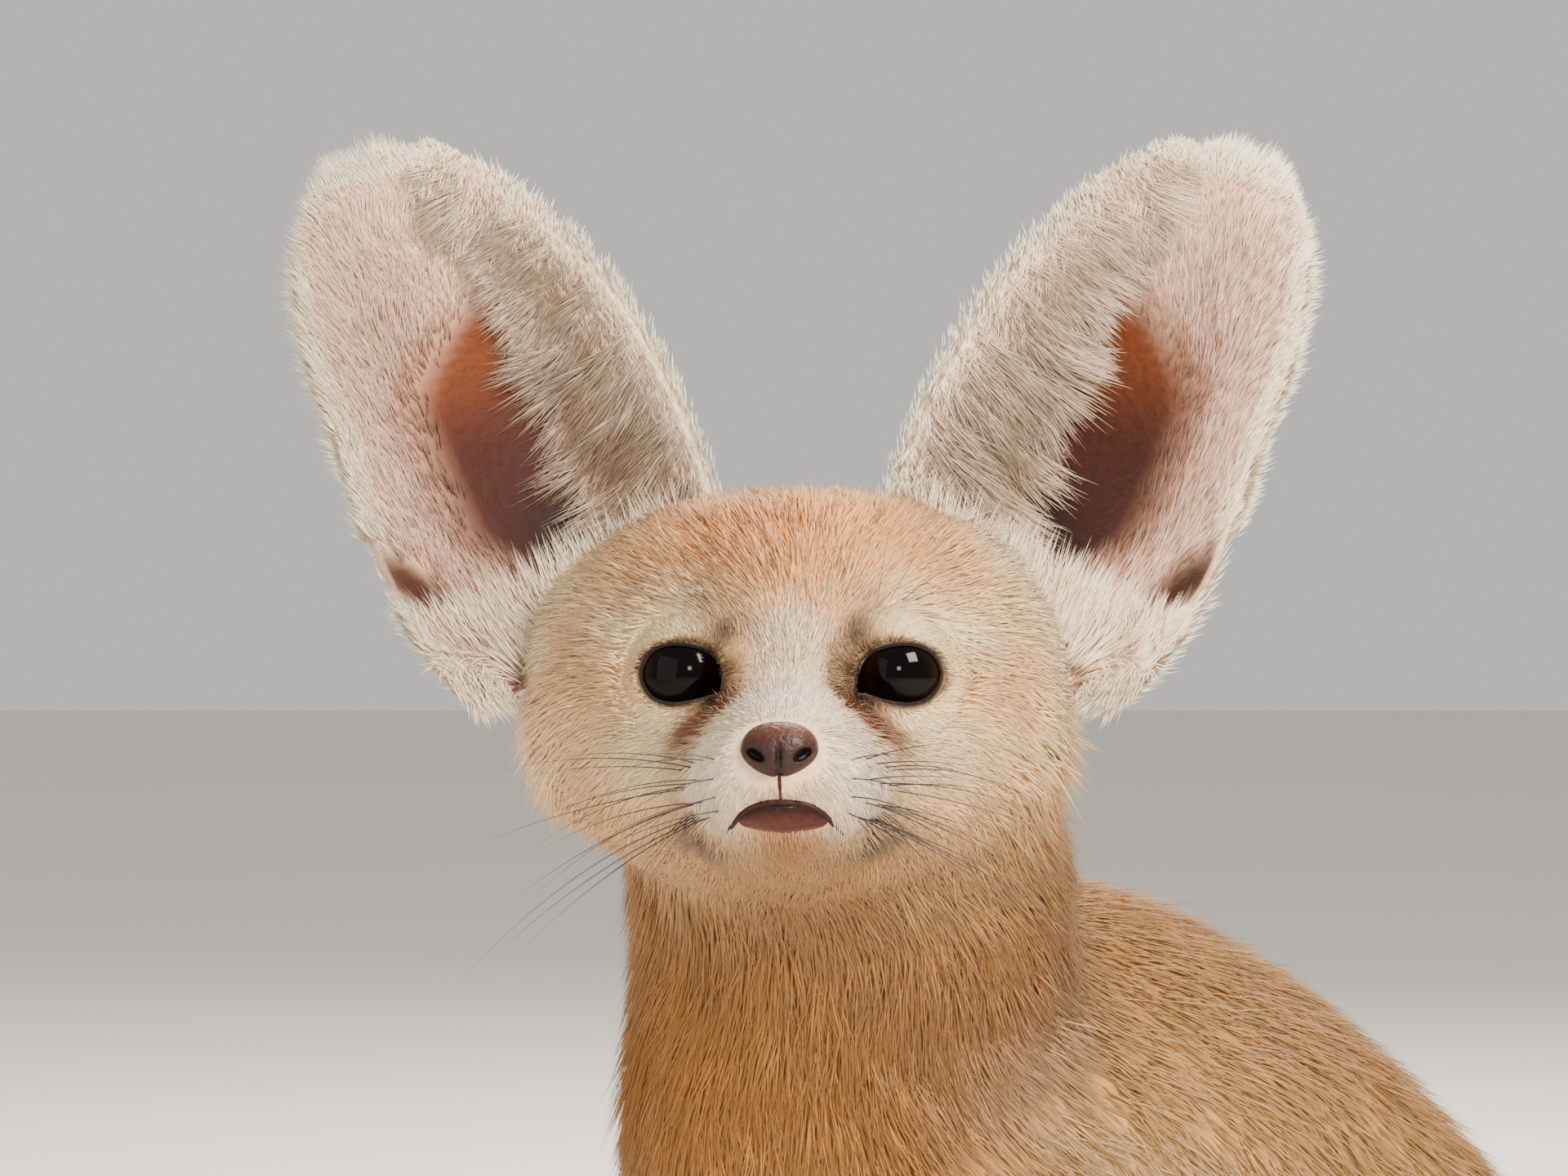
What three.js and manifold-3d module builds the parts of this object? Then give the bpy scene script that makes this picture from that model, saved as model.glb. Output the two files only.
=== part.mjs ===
// A young fennec fox, life size, sitting upright with its head turned to the viewer and its tail laid round
// its haunch. Millimetres, +Z up, nose towards -Y, the fox's own left side towards +X.
import * as THREE from 'three';
import { mergeVertices } from 'three/addons/utils/BufferGeometryUtils.js';
import Module from 'manifold-3d';

const wasm = await Module();
wasm.setup();

// Driving sizes of the whole animal
const GAP = 0.35; // left between pieces that touch
const EYE_LEVEL = 170; // height of the eyes above the floor
const EYE_SPACING = 25.6; // between the middles of the eyeballs
const EYE_RADIUS = 6.3;
const NOSE_UP = 10; // degrees that the muzzle is raised
const NOSE_ASIDE = -2.5; // degrees that the muzzle is turned to the fox's right
const EAR_LENGTH = 64;
const EAR_HALF_WIDTH = 22.5;
const EAR_DEPTH = 15; // of the cup
const EAR_THICK = 2.6;
const FLAT_CUT = 300; // half side of the block that trims at the floor
const WELD = 1e-4; // points nearer than this are one

const DEGREE = Math.PI / 180;
const v3 = (x, y, z) => new THREE.Vector3(x, y, z);
const UP = v3(0, 0, 1);
const SIDES = { right: -1, left: 1 }; // the fox's own sides, along X

// Seeded draw, the same in every run
function drawFrom(seed) {
  let state = seed;
  return (low, high) => {
    state = (state * 1664525 + 1013904223) % 4294967296;
    return low + ((high - low) * state) / 4294967296;
  };
}

// Solids and geometries

function solidOf(positions, triangles) {
  const mesh = (order) =>
    new wasm.Manifold(
      new wasm.Mesh({
        numProp: 3,
        vertProperties: new Float32Array(positions),
        triVerts: new Uint32Array(order),
      }),
    );
  const made = mesh(triangles);
  if (made.volume() > 0) return made;
  const turned = [];
  for (let i = 0; i < triangles.length; i += 3) {
    turned.push(triangles[i], triangles[i + 2], triangles[i + 1]);
  }
  return mesh(turned);
}

function solidOfGeometry(geometry, matrix = new THREE.Matrix4()) {
  const bare = geometry.clone().applyMatrix4(matrix);
  bare.deleteAttribute('normal');
  bare.deleteAttribute('uv');
  const merged = mergeVertices(bare, WELD);
  return solidOf(Array.from(merged.attributes.position.array), Array.from(merged.index.array));
}

function geometryOf(solid) {
  const mesh = solid.getMesh();
  const geometry = new THREE.BufferGeometry();
  const points = new Float32Array(mesh.numVert * 3);
  for (let i = 0; i < mesh.numVert; i++) {
    points.set(mesh.vertProperties.subarray(i * mesh.numProp, i * mesh.numProp + 3), i * 3);
  }
  geometry.setAttribute('position', new THREE.BufferAttribute(points, 3));
  geometry.setIndex(new THREE.BufferAttribute(new Uint32Array(mesh.triVerts), 1));
  geometry.computeVertexNormals();
  return geometry;
}

const joined = (solids) => solids.reduce((all, next) => all.add(next));
const without = (solid, cutters) => cutters.reduce((left, cutter) => left.subtract(cutter), solid);

function largestOf(solid) {
  return solid.decompose().reduce((best, next) => (next.volume() > best.volume() ? next : best));
}

// Stitches rings of equal count into a closed skin, with a pole point at each end.
function stitched(rings, firstPole, lastPole) {
  const around = rings[0].length;
  const points = [firstPole, ...rings.flat(), lastPole];
  const at = (ring, i) => 1 + ring * around + (i % around);
  const last = points.length - 1;
  const triangles = [];
  for (let i = 0; i < around; i++) {
    triangles.push(0, at(0, i + 1), at(0, i));
    triangles.push(last, at(rings.length - 1, i), at(rings.length - 1, i + 1));
    for (let ring = 0; ring + 1 < rings.length; ring++) {
      triangles.push(at(ring, i), at(ring, i + 1), at(ring + 1, i + 1));
      triangles.push(at(ring, i), at(ring + 1, i + 1), at(ring + 1, i));
    }
  }
  return solidOf(points.flatMap((p) => [p.x, p.y, p.z]), triangles);
}

// A rounded limb through stations [x, y, z, half width, half height], domed at both ends.
class Limb {
  constructor(stations, { reference = UP, domes = [8, 8], bows = [30, 60], steps = 12, around = 20 } = {}) {
    this.line = new THREE.CatmullRomCurve3(stations.map(([x, y, z]) => v3(x, y, z)));
    this.sizes = new THREE.CatmullRomCurve3(stations.map(([, , , wide, high]) => v3(wide, high, 0)));
    Object.assign(this, { reference, domes, bows, steps, around });
  }

  frame(t) {
    const centre = this.line.getPoint(t);
    const along = this.line.getTangent(t);
    const side = along.clone().cross(this.reference).normalize();
    const top = side.clone().cross(along).normalize();
    const size = this.sizes.getPoint(t);
    return { centre, along, side, top, wide: size.x, high: size.y };
  }

  ring(t, shift, share, grow) {
    const f = this.frame(t);
    const middle = f.centre.clone().addScaledVector(f.along, shift);
    return Array.from({ length: this.around }, (_, i) => {
      const turn = (2 * Math.PI * i) / this.around;
      return middle
        .clone()
        .addScaledVector(f.side, (f.wide + grow) * share * Math.cos(turn))
        .addScaledVector(f.top, (f.high + grow) * share * Math.sin(turn));
    });
  }

  solid(grow = 0) {
    const bows = this.bows.map((degrees) => degrees * DEGREE);
    const [first, last] = this.domes.map((dome) => dome + grow);
    const rings = [
      ...[...bows].reverse().map((a) => this.ring(0, -first * Math.sin(a), Math.cos(a), grow)),
      ...Array.from({ length: this.steps + 1 }, (_, k) => this.ring(k / this.steps, 0, 1, grow)),
      ...bows.map((a) => this.ring(1, last * Math.sin(a), Math.cos(a), grow)),
    ];
    const [start, end] = [this.frame(0), this.frame(1)];
    return stitched(
      rings,
      start.centre.clone().addScaledVector(start.along, -first),
      end.centre.clone().addScaledVector(end.along, last),
    );
  }

  // A point on the skin, with the outward direction and the direction along the limb.
  surface(t, turn) {
    const f = this.frame(t);
    const c = Math.cos(turn);
    const s = Math.sin(turn);
    const point = f.centre
      .clone()
      .addScaledVector(f.side, f.wide * c)
      .addScaledVector(f.top, f.high * s);
    const out = f.side
      .clone()
      .multiplyScalar(c / f.wide)
      .addScaledVector(f.top, s / f.high)
      .normalize();
    return { point, out, along: f.along };
  }
}

// A flat tapered lock of hair, three-sided, that leaves its root along one direction and bends to another.
// Shares of its length, and of its width there
const LOCK_SHARES = [
  [0, 0.75],
  [0.38, 1],
  [0.74, 0.6],
];
const LOCK_SINK = 1.5; // length of its root inside what it grows from

function lock({ root, along, out, length, width, thick, droop, sink = LOCK_SINK }) {
  const side = along.clone().cross(out).normalize();
  const flat = side.clone().cross(along).normalize();
  const spot = (t) =>
    root
      .clone()
      .addScaledVector(along, -sink + (length + sink) * t)
      .addScaledVector(droop, t * t);
  const rings = LOCK_SHARES.map(([t, share]) => [
    spot(t).addScaledVector(side, (width / 2) * share),
    spot(t).addScaledVector(flat, thick * share),
    spot(t).addScaledVector(side, (-width / 2) * share),
  ]);
  return stitched(rings, spot(0), spot(1));
}

// Smooth curve through [place, value, value, ...] rows, read at any place.
function profile(rows) {
  const slope = (i, k) => {
    const a = rows[Math.max(i - 1, 0)];
    const b = rows[Math.min(i + 1, rows.length - 1)];
    return (b[k] - a[k]) / (b[0] - a[0]);
  };
  return (place) => {
    let i = rows.findIndex((row) => row[0] >= place);
    i = Math.min(Math.max(i < 0 ? rows.length - 1 : i, 1), rows.length - 1) - 1;
    const [a, b] = [rows[i], rows[i + 1]];
    const span = b[0] - a[0];
    const t = THREE.MathUtils.clamp((place - a[0]) / span, 0, 1);
    const t2 = t * t;
    const t3 = t2 * t;
    return a
      .slice(1)
      .map(
        (_, j) =>
          (2 * t3 - 3 * t2 + 1) * a[j + 1] +
          (t3 - 2 * t2 + t) * span * slope(i, j + 1) +
          (3 * t2 - 2 * t3) * b[j + 1] +
          (t3 - t2) * span * slope(i + 1, j + 1),
      );
  };
}

// Head, in its own frame: origin in the middle of the skull, nose towards -Y

const NOSE_END = -38.5;
const NOSE_END_UP = -12.5;
const SKULL_END = 30;
const HEAD_GRID = [22, 30]; // rows from nose to nape, and points round each
const ROOM_GRID = [18, 24]; // the same for the block that clears a place for the head
const ROOM_GAPS = 3; // gaps that this block is wider by, because its faces are coarser
const HEAD_POWERS = { upper: 2.25, lower: 1.85 }; // of the superellipse that a section is
// Rows of [y, top, bottom, half width] from the nose to the back of the skull
const HEAD_FORM = [
  [-38.5, -11.5, -13.5, 1],
  [-37, -7.2, -18.4, 6.6],
  [-34, -5.4, -21, 9.4],
  [-30, -2.6, -22.4, 10.9],
  [-26, 1, -23.2, 12.2],
  [-22, 6.8, -24, 14.8],
  [-18, 15, -24.8, 20],
  [-13, 22.6, -25.6, 27],
  [-7, 27.6, -26.4, 33],
  [2, 30.4, -26.6, 36],
  [12, 28, -24.6, 33.5],
  [20, 22, -20, 27.5],
  [26, 14, -13, 18.5],
  [30, 1, -1, 1],
];
const headSizes = profile(HEAD_FORM);
const EYE_PLACE = v3(EYE_SPACING / 2, -13.2, 2.5);
// Rises and hollows of the face, on both sides: [x, y, z, reach, push outwards]
const FACE_FORMS = [
  [14, -19, 2.5, 6.5, -2.2],
  [11.5, -16, 10, 6, 1.3],
  [25, -8, -8, 11, 1.8],
  [6.5, -32, -14.5, 5, 1.7],
  [9.5, -23, -3, 4.5, -1.1],
  [3, -36, -20.5, 3.2, -0.7],
];

function pushedOut(point, out) {
  for (const [x, y, z, reach, push] of FACE_FORMS) {
    for (const sign of [-1, 1]) {
      const away = point.distanceTo(v3(sign * x, y, z)) / reach;
      point.addScaledVector(out, push * Math.exp(-away * away));
    }
  }
  return point;
}

const powered = (value, power) => Math.sign(value) * Math.abs(value) ** (2 / power);

function headSurface(y, turn, grow = 0) {
  const [top, bottom, wide] = headSizes(y);
  const middle = (top + bottom) / 2;
  const high = (top - bottom) / 2;
  const power = Math.sin(turn) > 0 ? HEAD_POWERS.upper : HEAD_POWERS.lower;
  const c = powered(Math.cos(turn), power);
  const s = powered(Math.sin(turn), power);
  const out = v3(c / wide, 0, s / high).normalize();
  const point = pushedOut(v3(wide * c, y, middle + high * s), out);
  return { point: point.addScaledVector(out, grow), out };
}

function headCore(grow = 0, [rows, around] = HEAD_GRID) {
  const rings = Array.from({ length: rows }, (_, k) => {
    const share = (k + 0.5) / rows;
    const y = THREE.MathUtils.lerp(NOSE_END, SKULL_END, (1 - Math.cos(Math.PI * share)) / 2);
    const stretched = y + (grow * (y - (NOSE_END + SKULL_END) / 2)) / ((SKULL_END - NOSE_END) / 2);
    return Array.from({ length: around }, (_, i) => {
      const made = headSurface(y, (2 * Math.PI * i) / around, grow).point;
      return v3(made.x, stretched, made.z);
    });
  });
  return stitched(rings, v3(0, NOSE_END - grow, NOSE_END_UP), v3(0, SKULL_END + grow, 0));
}

// Eyes and lids

const GAZE_OUT = 9; // degrees that each eye looks outwards
const LID_THICK = 1.3;
const LID_HALF_WIDTH = 5.3;
const LID_RISE = 4.9; // top of the opening above its corners
const LID_DROP = 2.1; // and its bottom below them
const LID_LOWERED = 1.6; // corners below the middle of the eye
const LID_TILT = 10; // degrees that the outer corner is higher
const LID_GAP = 0.3; // between the eyeball and the head
// How far the handles of the opening's curves reach out and up, as shares of its half width and rise or drop
const LID_HANDLES = { upper: [0.65, 1.3, 0.6, 1.35], lower: [0.55, 1.35, 0.55, 1.3] };
const LID_CURVE = 5; // straight pieces in each curve
const LID_CUT = 14; // depth of the cut that opens the lids
const BALL_GRID = [14, 9]; // faces round and along eyeballs and the nose

function eyeMatrix(sign) {
  return new THREE.Matrix4()
    .makeTranslation(sign * EYE_PLACE.x, EYE_PLACE.y, EYE_PLACE.z)
    .multiply(new THREE.Matrix4().makeRotationX(NOSE_UP * DEGREE)) // the eyes look level
    .multiply(new THREE.Matrix4().makeRotationZ(sign * GAZE_OUT * DEGREE));
}

function eyeBall(sign, grow = 0) {
  return solidOfGeometry(new THREE.SphereGeometry(EYE_RADIUS + grow, ...BALL_GRID), eyeMatrix(sign));
}

function eyeOpening(sign) {
  const reach = LID_HALF_WIDTH;
  const [a, b, c, d] = LID_HANDLES.upper;
  const [e, f, g, h] = LID_HANDLES.lower;
  const outline = new THREE.Shape();
  outline.moveTo(-reach, 0);
  outline.bezierCurveTo(-reach * a, LID_RISE * b, reach * c, LID_RISE * d, reach, 0);
  outline.bezierCurveTo(reach * e, -LID_DROP * f, -reach * g, -LID_DROP * h, -reach, 0);
  const prism = new THREE.ExtrudeGeometry(outline, {
    depth: LID_CUT,
    bevelEnabled: false,
    curveSegments: LID_CURVE,
  });
  const place = eyeMatrix(sign)
    .multiply(new THREE.Matrix4().makeRotationX(90 * DEGREE))
    .multiply(new THREE.Matrix4().makeTranslation(0, -LID_LOWERED, 0))
    .multiply(new THREE.Matrix4().makeRotationZ(sign * LID_TILT * DEGREE));
  return solidOfGeometry(prism, place);
}

// Nose pad: a ball drawn narrower towards the lip, with two comma nostrils

const NOSE = {
  at: v3(0, -36.6, -10.6),
  wide: 4.5,
  high: 3.3,
  deep: 3.6,
  powers: [2.4, 2.3], // how square it is across and upwards
  narrowing: 0.3, // share of its width that is lost at the lip
  narrowingPower: 1.5,
};
// Each nostril is a short slanting hole, placed from the middle of the nose
const NOSTRIL = {
  aside: 2.7,
  forward: 3.1,
  down: 0.5,
  radius: 0.75,
  length: 2.6,
  swing: 35, // degrees about the upright
  slant: 60, // degrees from the upright
  faces: [2, 8],
};

function nosePad(grow = 0) {
  const ball = new THREE.SphereGeometry(1, ...BALL_GRID);
  const place = ball.attributes.position;
  for (let i = 0; i < place.count; i++) {
    const p = v3().fromBufferAttribute(place, i);
    const narrow = 1 - NOSE.narrowing * Math.max(0, -p.z) ** NOSE.narrowingPower;
    place.setXYZ(
      i,
      NOSE.at.x + powered(p.x, NOSE.powers[0]) * (NOSE.wide + grow) * narrow,
      NOSE.at.y + p.y * (NOSE.deep + grow),
      NOSE.at.z + powered(p.z, NOSE.powers[1]) * (NOSE.high + grow),
    );
  }
  return solidOfGeometry(ball);
}

function nostril(sign) {
  const hole = new THREE.CapsuleGeometry(NOSTRIL.radius, NOSTRIL.length, ...NOSTRIL.faces);
  const place = new THREE.Matrix4()
    .makeTranslation(sign * NOSTRIL.aside, NOSE.at.y - NOSTRIL.forward, NOSE.at.z - NOSTRIL.down)
    .multiply(new THREE.Matrix4().makeRotationZ(sign * NOSTRIL.swing * DEGREE))
    .multiply(new THREE.Matrix4().makeRotationY(sign * NOSTRIL.slant * DEGREE));
  return solidOfGeometry(hole, place);
}

// Line of the mouth: a thin slot round the muzzle, from one corner over the middle to the other

const MOUTH = {
  corner: v3(9.6, -25, -19.6),
  cheek: v3(8.8, -30, -19),
  side: v3(6, -35, -18.2),
  middle: v3(0, -38, -17),
  slot: 0.7,
  bite: 3,
  steps: 16,
};

function mouthSlot() {
  const half = [MOUTH.corner, MOUTH.cheek, MOUTH.side];
  const line = new THREE.CatmullRomCurve3([
    ...half,
    MOUTH.middle,
    ...half.map((p) => v3(-p.x, p.y, p.z)).reverse(),
  ]);
  const { steps } = MOUTH;
  const rings = Array.from({ length: steps + 1 }, (_, k) => {
    const centre = line.getPoint(k / steps);
    const out = line.getTangent(k / steps).cross(UP).normalize();
    return [
      [1, 1],
      [1, -1],
      [-1, -1],
      [-1, 1],
    ].map(([a, b]) =>
      centre
        .clone()
        .addScaledVector(out, a * MOUTH.bite)
        .addScaledVector(UP, (b * MOUTH.slot) / 2),
    );
  });
  return stitched(rings, line.getPoint(0), line.getPoint(1));
}

// Ruff of the cheeks: rows of locks that lie back and down over the jaw and stand out a little at their tips
const RUFF = {
  rows: 3,
  perRow: 5,
  firstTurn: 0, // degrees round the head, from level
  turnStep: -14,
  turnPlay: 2,
  firstY: -7,
  rowStep: 7.5,
  rowPlay: 1,
  length: 14,
  width: 11,
  thick: 1.8,
  play: [0.9, 1.1], // range of length and width
  lie: [0.15, 0.8, -0.6],
  lift: 0.38, // how far a lock leaves the skin, as a share of its length
  rootDepth: 1.4,
  droop: [0.8, 1.5], // of the tip, inwards and down
};

function cheekRuff() {
  const draw = drawFrom(7);
  const locks = [];
  for (const sign of [-1, 1]) {
    for (let row = 0; row < RUFF.rows; row++) {
      for (let k = 0; k < RUFF.perRow; k++) {
        const turnPlay = draw(-RUFF.turnPlay, RUFF.turnPlay);
        const turn = (RUFF.firstTurn + RUFF.turnStep * (k + 0.5 * (row % 2)) + turnPlay) * DEGREE;
        const y = RUFF.firstY + RUFF.rowStep * row + draw(-RUFF.rowPlay, RUFF.rowPlay);
        const { point, out } = headSurface(y, turn);
        const outward = v3(sign * out.x, out.y, out.z);
        const [aside, back, up] = RUFF.lie;
        const lie = v3(sign * aside, back, up);
        const along = lie.addScaledVector(outward, RUFF.lift - lie.dot(outward)).normalize();
        locks.push(
          lock({
            root: v3(sign * point.x, point.y, point.z).addScaledVector(outward, -RUFF.rootDepth),
            along,
            out: outward,
            length: RUFF.length * draw(...RUFF.play),
            width: RUFF.width * draw(...RUFF.play),
            thick: RUFF.thick,
            droop: outward.clone().multiplyScalar(-RUFF.droop[0]).addScaledVector(UP, -RUFF.droop[1]),
          }),
        );
      }
    }
  }
  return joined(locks);
}

// Ears: a cup between a steep inner wall and a long outer slope, rounded at the tip

const EAR_ROOT = v3(26, 3, 17);
const EAR_AXIS = v3(0.455, -0.01, 0.89).normalize();
const EAR_TURN = 16; // degrees that the cup faces outwards
const EAR_DEEPEST = -0.3; // place across the ear, from -1 at the inner edge to 1 at the outer
const EAR_TIP_POWER = 2.5;
const EAR_SUNK = 9; // length of the root inside the head
const EAR_LAST = 0.985; // share of the length where the last row of the ear lies
const EAR_GRID = [12, 10]; // rows up the ear, and columns across
const EAR_WIDEST = 0.28; // share of the length where the cup is widest
const EAR_NARROWING = [0.9, 1.6]; // of the cup below there: amount and power
const EAR_SKIRT = 4; // extra width of the outer edge at the root
const EAR_SKIRT_TOP = 0.5; // share of the length where that ends
const EAR_LEAN = 0.2; // share of its width that the inner half loses towards the tip
const EAR_LEAN_FROM = 0.45;
const EAR_BOWS = [2, 1.7]; // powers of the cup's curve, on the inner and on the outer side
const EAR_RIM = { edge: [0.45, 6], tip: [0.7, 16] }; // how much thinner the ear is there, and its power
const EAR_ROW_POWER = 0.9; // sets the rows closer towards the tip
const READ_STEP = 0.01; // of the differences that give the directions on the cup
const READ_LAST = 0.97; // the last place that they are read at

function earFrame(sign) {
  const along = v3(sign * EAR_AXIS.x, EAR_AXIS.y, EAR_AXIS.z);
  const turned = v3(0, 1, 0).applyAxisAngle(along, -sign * EAR_TURN * DEGREE);
  const across = along.clone().cross(turned).normalize().multiplyScalar(-sign);
  if (across.x * sign < 0) across.negate();
  const back = across.clone().cross(along).normalize();
  if (back.y < 0) back.negate();
  return { root: v3(sign * EAR_ROOT.x, EAR_ROOT.y, EAR_ROOT.z), along, across, back };
}

function earHalfWidth(u, q) {
  const [amount, power] = EAR_NARROWING;
  const lean = q < 0 ? 1 - EAR_LEAN * THREE.MathUtils.smoothstep(u, EAR_LEAN_FROM, 1) : 1;
  if (u < EAR_WIDEST) return EAR_HALF_WIDTH * (1 - amount * (EAR_WIDEST - u) ** power);
  const rise = (u - EAR_WIDEST) / (1 - EAR_WIDEST);
  return EAR_HALF_WIDTH * lean * Math.sqrt(Math.max(0, 1 - rise ** EAR_TIP_POWER));
}

const earSkirt = (u, q) =>
  EAR_SKIRT * Math.max(0, q) * THREE.MathUtils.smoothstep(EAR_SKIRT_TOP - u, 0, EAR_SKIRT_TOP);
const earDepth = profile([
  [-0.2, 6],
  [0, 12],
  [0.3, EAR_DEPTH],
  [0.7, 8],
  [0.9, 2.5],
  [1, 0],
]);

function earMiddle(frame, u, q) {
  const bow =
    q < EAR_DEEPEST
      ? 1 - ((q - EAR_DEEPEST) / (-1 - EAR_DEEPEST)) ** EAR_BOWS[0]
      : 1 - ((q - EAR_DEEPEST) / (1 - EAR_DEEPEST)) ** EAR_BOWS[1];
  return frame.root
    .clone()
    .addScaledVector(frame.along, u * EAR_LENGTH)
    .addScaledVector(frame.across, q * earHalfWidth(u, q) + earSkirt(u, q))
    .addScaledVector(frame.back, earDepth(u)[0] * bow);
}

function earPoint(frame, u, q, shift) {
  const low = Math.min(u, READ_LAST);
  const du = earMiddle(frame, low + READ_STEP, q).sub(earMiddle(frame, low - READ_STEP, q));
  const edge = THREE.MathUtils.clamp(q, -READ_LAST, READ_LAST);
  const dq = earMiddle(frame, low, edge + READ_STEP).sub(earMiddle(frame, low, edge - READ_STEP));
  const out = du.cross(dq).normalize();
  if (out.dot(frame.back) > 0) out.negate(); // towards the inside of the cup
  return { point: earMiddle(frame, u, q).addScaledVector(out, shift), out };
}

function earShell(sign, grow = 0) {
  const frame = earFrame(sign);
  const [rows, columns] = EAR_GRID;
  const [edgeThinning, edgePower] = EAR_RIM.edge;
  const [tipThinning, tipPower] = EAR_RIM.tip;
  const rings = Array.from({ length: rows + 1 }, (_, j) => {
    const share = Math.sin(((j / rows) * Math.PI) / 2) ** EAR_ROW_POWER;
    const u = THREE.MathUtils.lerp(-EAR_SUNK / EAR_LENGTH, EAR_LAST, share);
    const face = (side, order) =>
      order.map((i) => {
        const q = Math.sin((i / columns - 0.5) * Math.PI);
        const atEdge = 1 - edgeThinning * Math.abs(q) ** edgePower;
        const rim = atEdge * (1 - tipThinning * Math.max(0, u) ** tipPower);
        return earPoint(frame, u, q, side * (EAR_THICK / 2) * rim + side * grow).point;
      });
    const there = Array.from({ length: columns + 1 }, (_, i) => i);
    return [...face(1, there), ...face(-1, [...there].reverse())];
  });
  const middleOf = (ring) => ring.reduce((sum, p) => sum.add(p), v3()).divideScalar(ring.length);
  const tip = frame.root.clone().addScaledVector(frame.along, EAR_LENGTH + grow);
  return stitched(rings, middleOf(rings[0]), tip);
}

// Long white hair that springs from the inner edge of each ear across its hollow
const FRINGE = {
  count: 10,
  first: 0.01, // share of the ear's length at the first root
  step: 0.074,
  place: -0.84, // across the ear
  placePlay: [-0.05, 0.07],
  length: 19,
  width: 8.5,
  thick: 1.1,
  play: [0.9, 1.1],
  shorter: 0.4, // share of its length that the topmost lock loses
  lie: [0.66, 0.62, 0.42], // across, along the ear and out of the cup
  steeper: 0.4, // how much more the topmost lock lies along the ear
  liePlay: 0.08,
  droop: 2.2,
  sink: 0.6,
};

function earFringe(sign) {
  const frame = earFrame(sign);
  const draw = drawFrom(21);
  return joined(
    Array.from({ length: FRINGE.count }, (_, k) => {
      const share = k / FRINGE.count;
      const place = FRINGE.place + draw(...FRINGE.placePlay);
      const [across, upwards, outwards] = FRINGE.lie;
      const rise = upwards + FRINGE.steeper * share + draw(-FRINGE.liePlay, FRINGE.liePlay);
      const { point, out } = earPoint(frame, FRINGE.first + FRINGE.step * k, place, 0);
      return lock({
        root: point,
        along: frame.across
          .clone()
          .multiplyScalar(across)
          .addScaledVector(frame.along, rise)
          .addScaledVector(out, outwards)
          .normalize(),
        out,
        length: FRINGE.length * (1 - FRINGE.shorter * share) * draw(...FRINGE.play),
        width: FRINGE.width * draw(...FRINGE.play),
        thick: FRINGE.thick,
        droop: frame.back.clone().multiplyScalar(FRINGE.droop),
        sink: FRINGE.sink,
      });
    }),
  );
}

// Trunk, neck, legs and tail, in the frame of the whole animal

// Stations of [x, y, z, half width, half height]
const TRUNK = new Limb(
  [
    [8, 35, 109, 30, 36],
    [22, 50, 107, 32, 40],
    [42, 62, 101, 33.5, 40],
    [64, 73, 87, 34, 38],
    [86, 82, 62, 34.5, 36],
    [100, 87, 35, 33, 33],
    [104, 88, 12, 27, 27],
  ],
  { domes: [20, 14], steps: 12, around: 20 },
);
const CHEST = new Limb(
  [
    [3, 28, 129, 24, 20],
    [1, 25, 119, 26, 23.5],
    [1, 25, 106, 26.5, 25],
    [4, 30, 92, 24, 22],
  ],
  { reference: v3(0, -1, 0), domes: [7, 14], steps: 5, around: 18 },
);
const NECK = new Limb(
  [
    [8, 36, 124, 30, 27],
    [8, 28, 138, 32, 28],
    [6, 18, 150, 31, 26],
    [3, 8, 160, 26, 22],
  ],
  { domes: [8, 8], steps: 4, around: 18 },
);
// Each leg is described on the fox's own axes at its end of the trunk: back, out to its side, and up
const FORE = { at: v3(4, 24, 0), heading: 24, apart: 14 };
const HIND = { at: v3(72, 77, 0), heading: 66, apart: 25 };
const FORE_LEG = [
  [6, 4, 104, 11, 17],
  [4, 3, 84, 10, 15],
  [2, 1, 64, 7.6, 9.6],
  [-1, 0, 42, 6.2, 7],
  [0, 0, 22, 6, 6.6],
  [-2, 0, 7, 6.8, 7.2],
];
const THIGH = [
  [22, -5, 50, 16, 26],
  [6, 0, 50, 18, 30],
  [-12, 3, 44, 16.5, 25],
  [-27, 4, 36, 12, 17],
];
const SHANK = [
  [-25, 6, 31, 10, 12],
  [-8, 8, 21, 9, 10],
  [10, 8, 13, 7.5, 8.5],
];
const HIND_FOOT = [
  [12, 8, 10, 7, 8.5],
  [0, 8, 8, 6.6, 7.8],
  [-20, 8, 6.4, 6.8, 6.8],
  [-34, 8, 5.8, 7.8, 6.4],
];
// The tail goes round the left haunch, on the axes of the hind legs
const TAIL = [
  [34, 1, 22, 10, 10],
  [58, 8, 17, 12, 12],
  [70, 26, 14.5, 14, 14],
  [66, 47, 14.5, 15.5, 15],
  [48, 60, 14.5, 16, 15],
  [24, 64, 13.5, 15, 14],
  [2, 62, 11, 12, 11.5],
  [-15, 57, 7, 7, 7],
];
const WRIST = 24; // height where the forepaws begin
const TAIL_CUTS = [0.36, 0.72]; // shares of its length where its three pieces meet
const TOES = {
  count: 4,
  long: 8.5,
  radius: 3.3,
  claw: 4.6,
  clawRadius: 0.9,
  clawOut: 2.9, // from the last knuckle to the middle of the claw
  clawUp: 1.1,
  clawFall: -0.3,
  rootBack: 3, // from the front of the foot
  rootUp: 4.6,
  tipUp: 2.2,
  spreads: [3.6, 5.2], // aside at root and tip of the outermost toe, per step of the fan
  fanStep: 1.5,
  inner: 1.8, // how much shorter the inner and outer toes are
  bend: [0.6, 0.8], // share of the toe where it arches, and how high
  tipShare: 0.85, // of its radius at the tip
  dome: 1.6,
  faces: [2, 7], // along and round
  clawFaces: 5,
};

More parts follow.
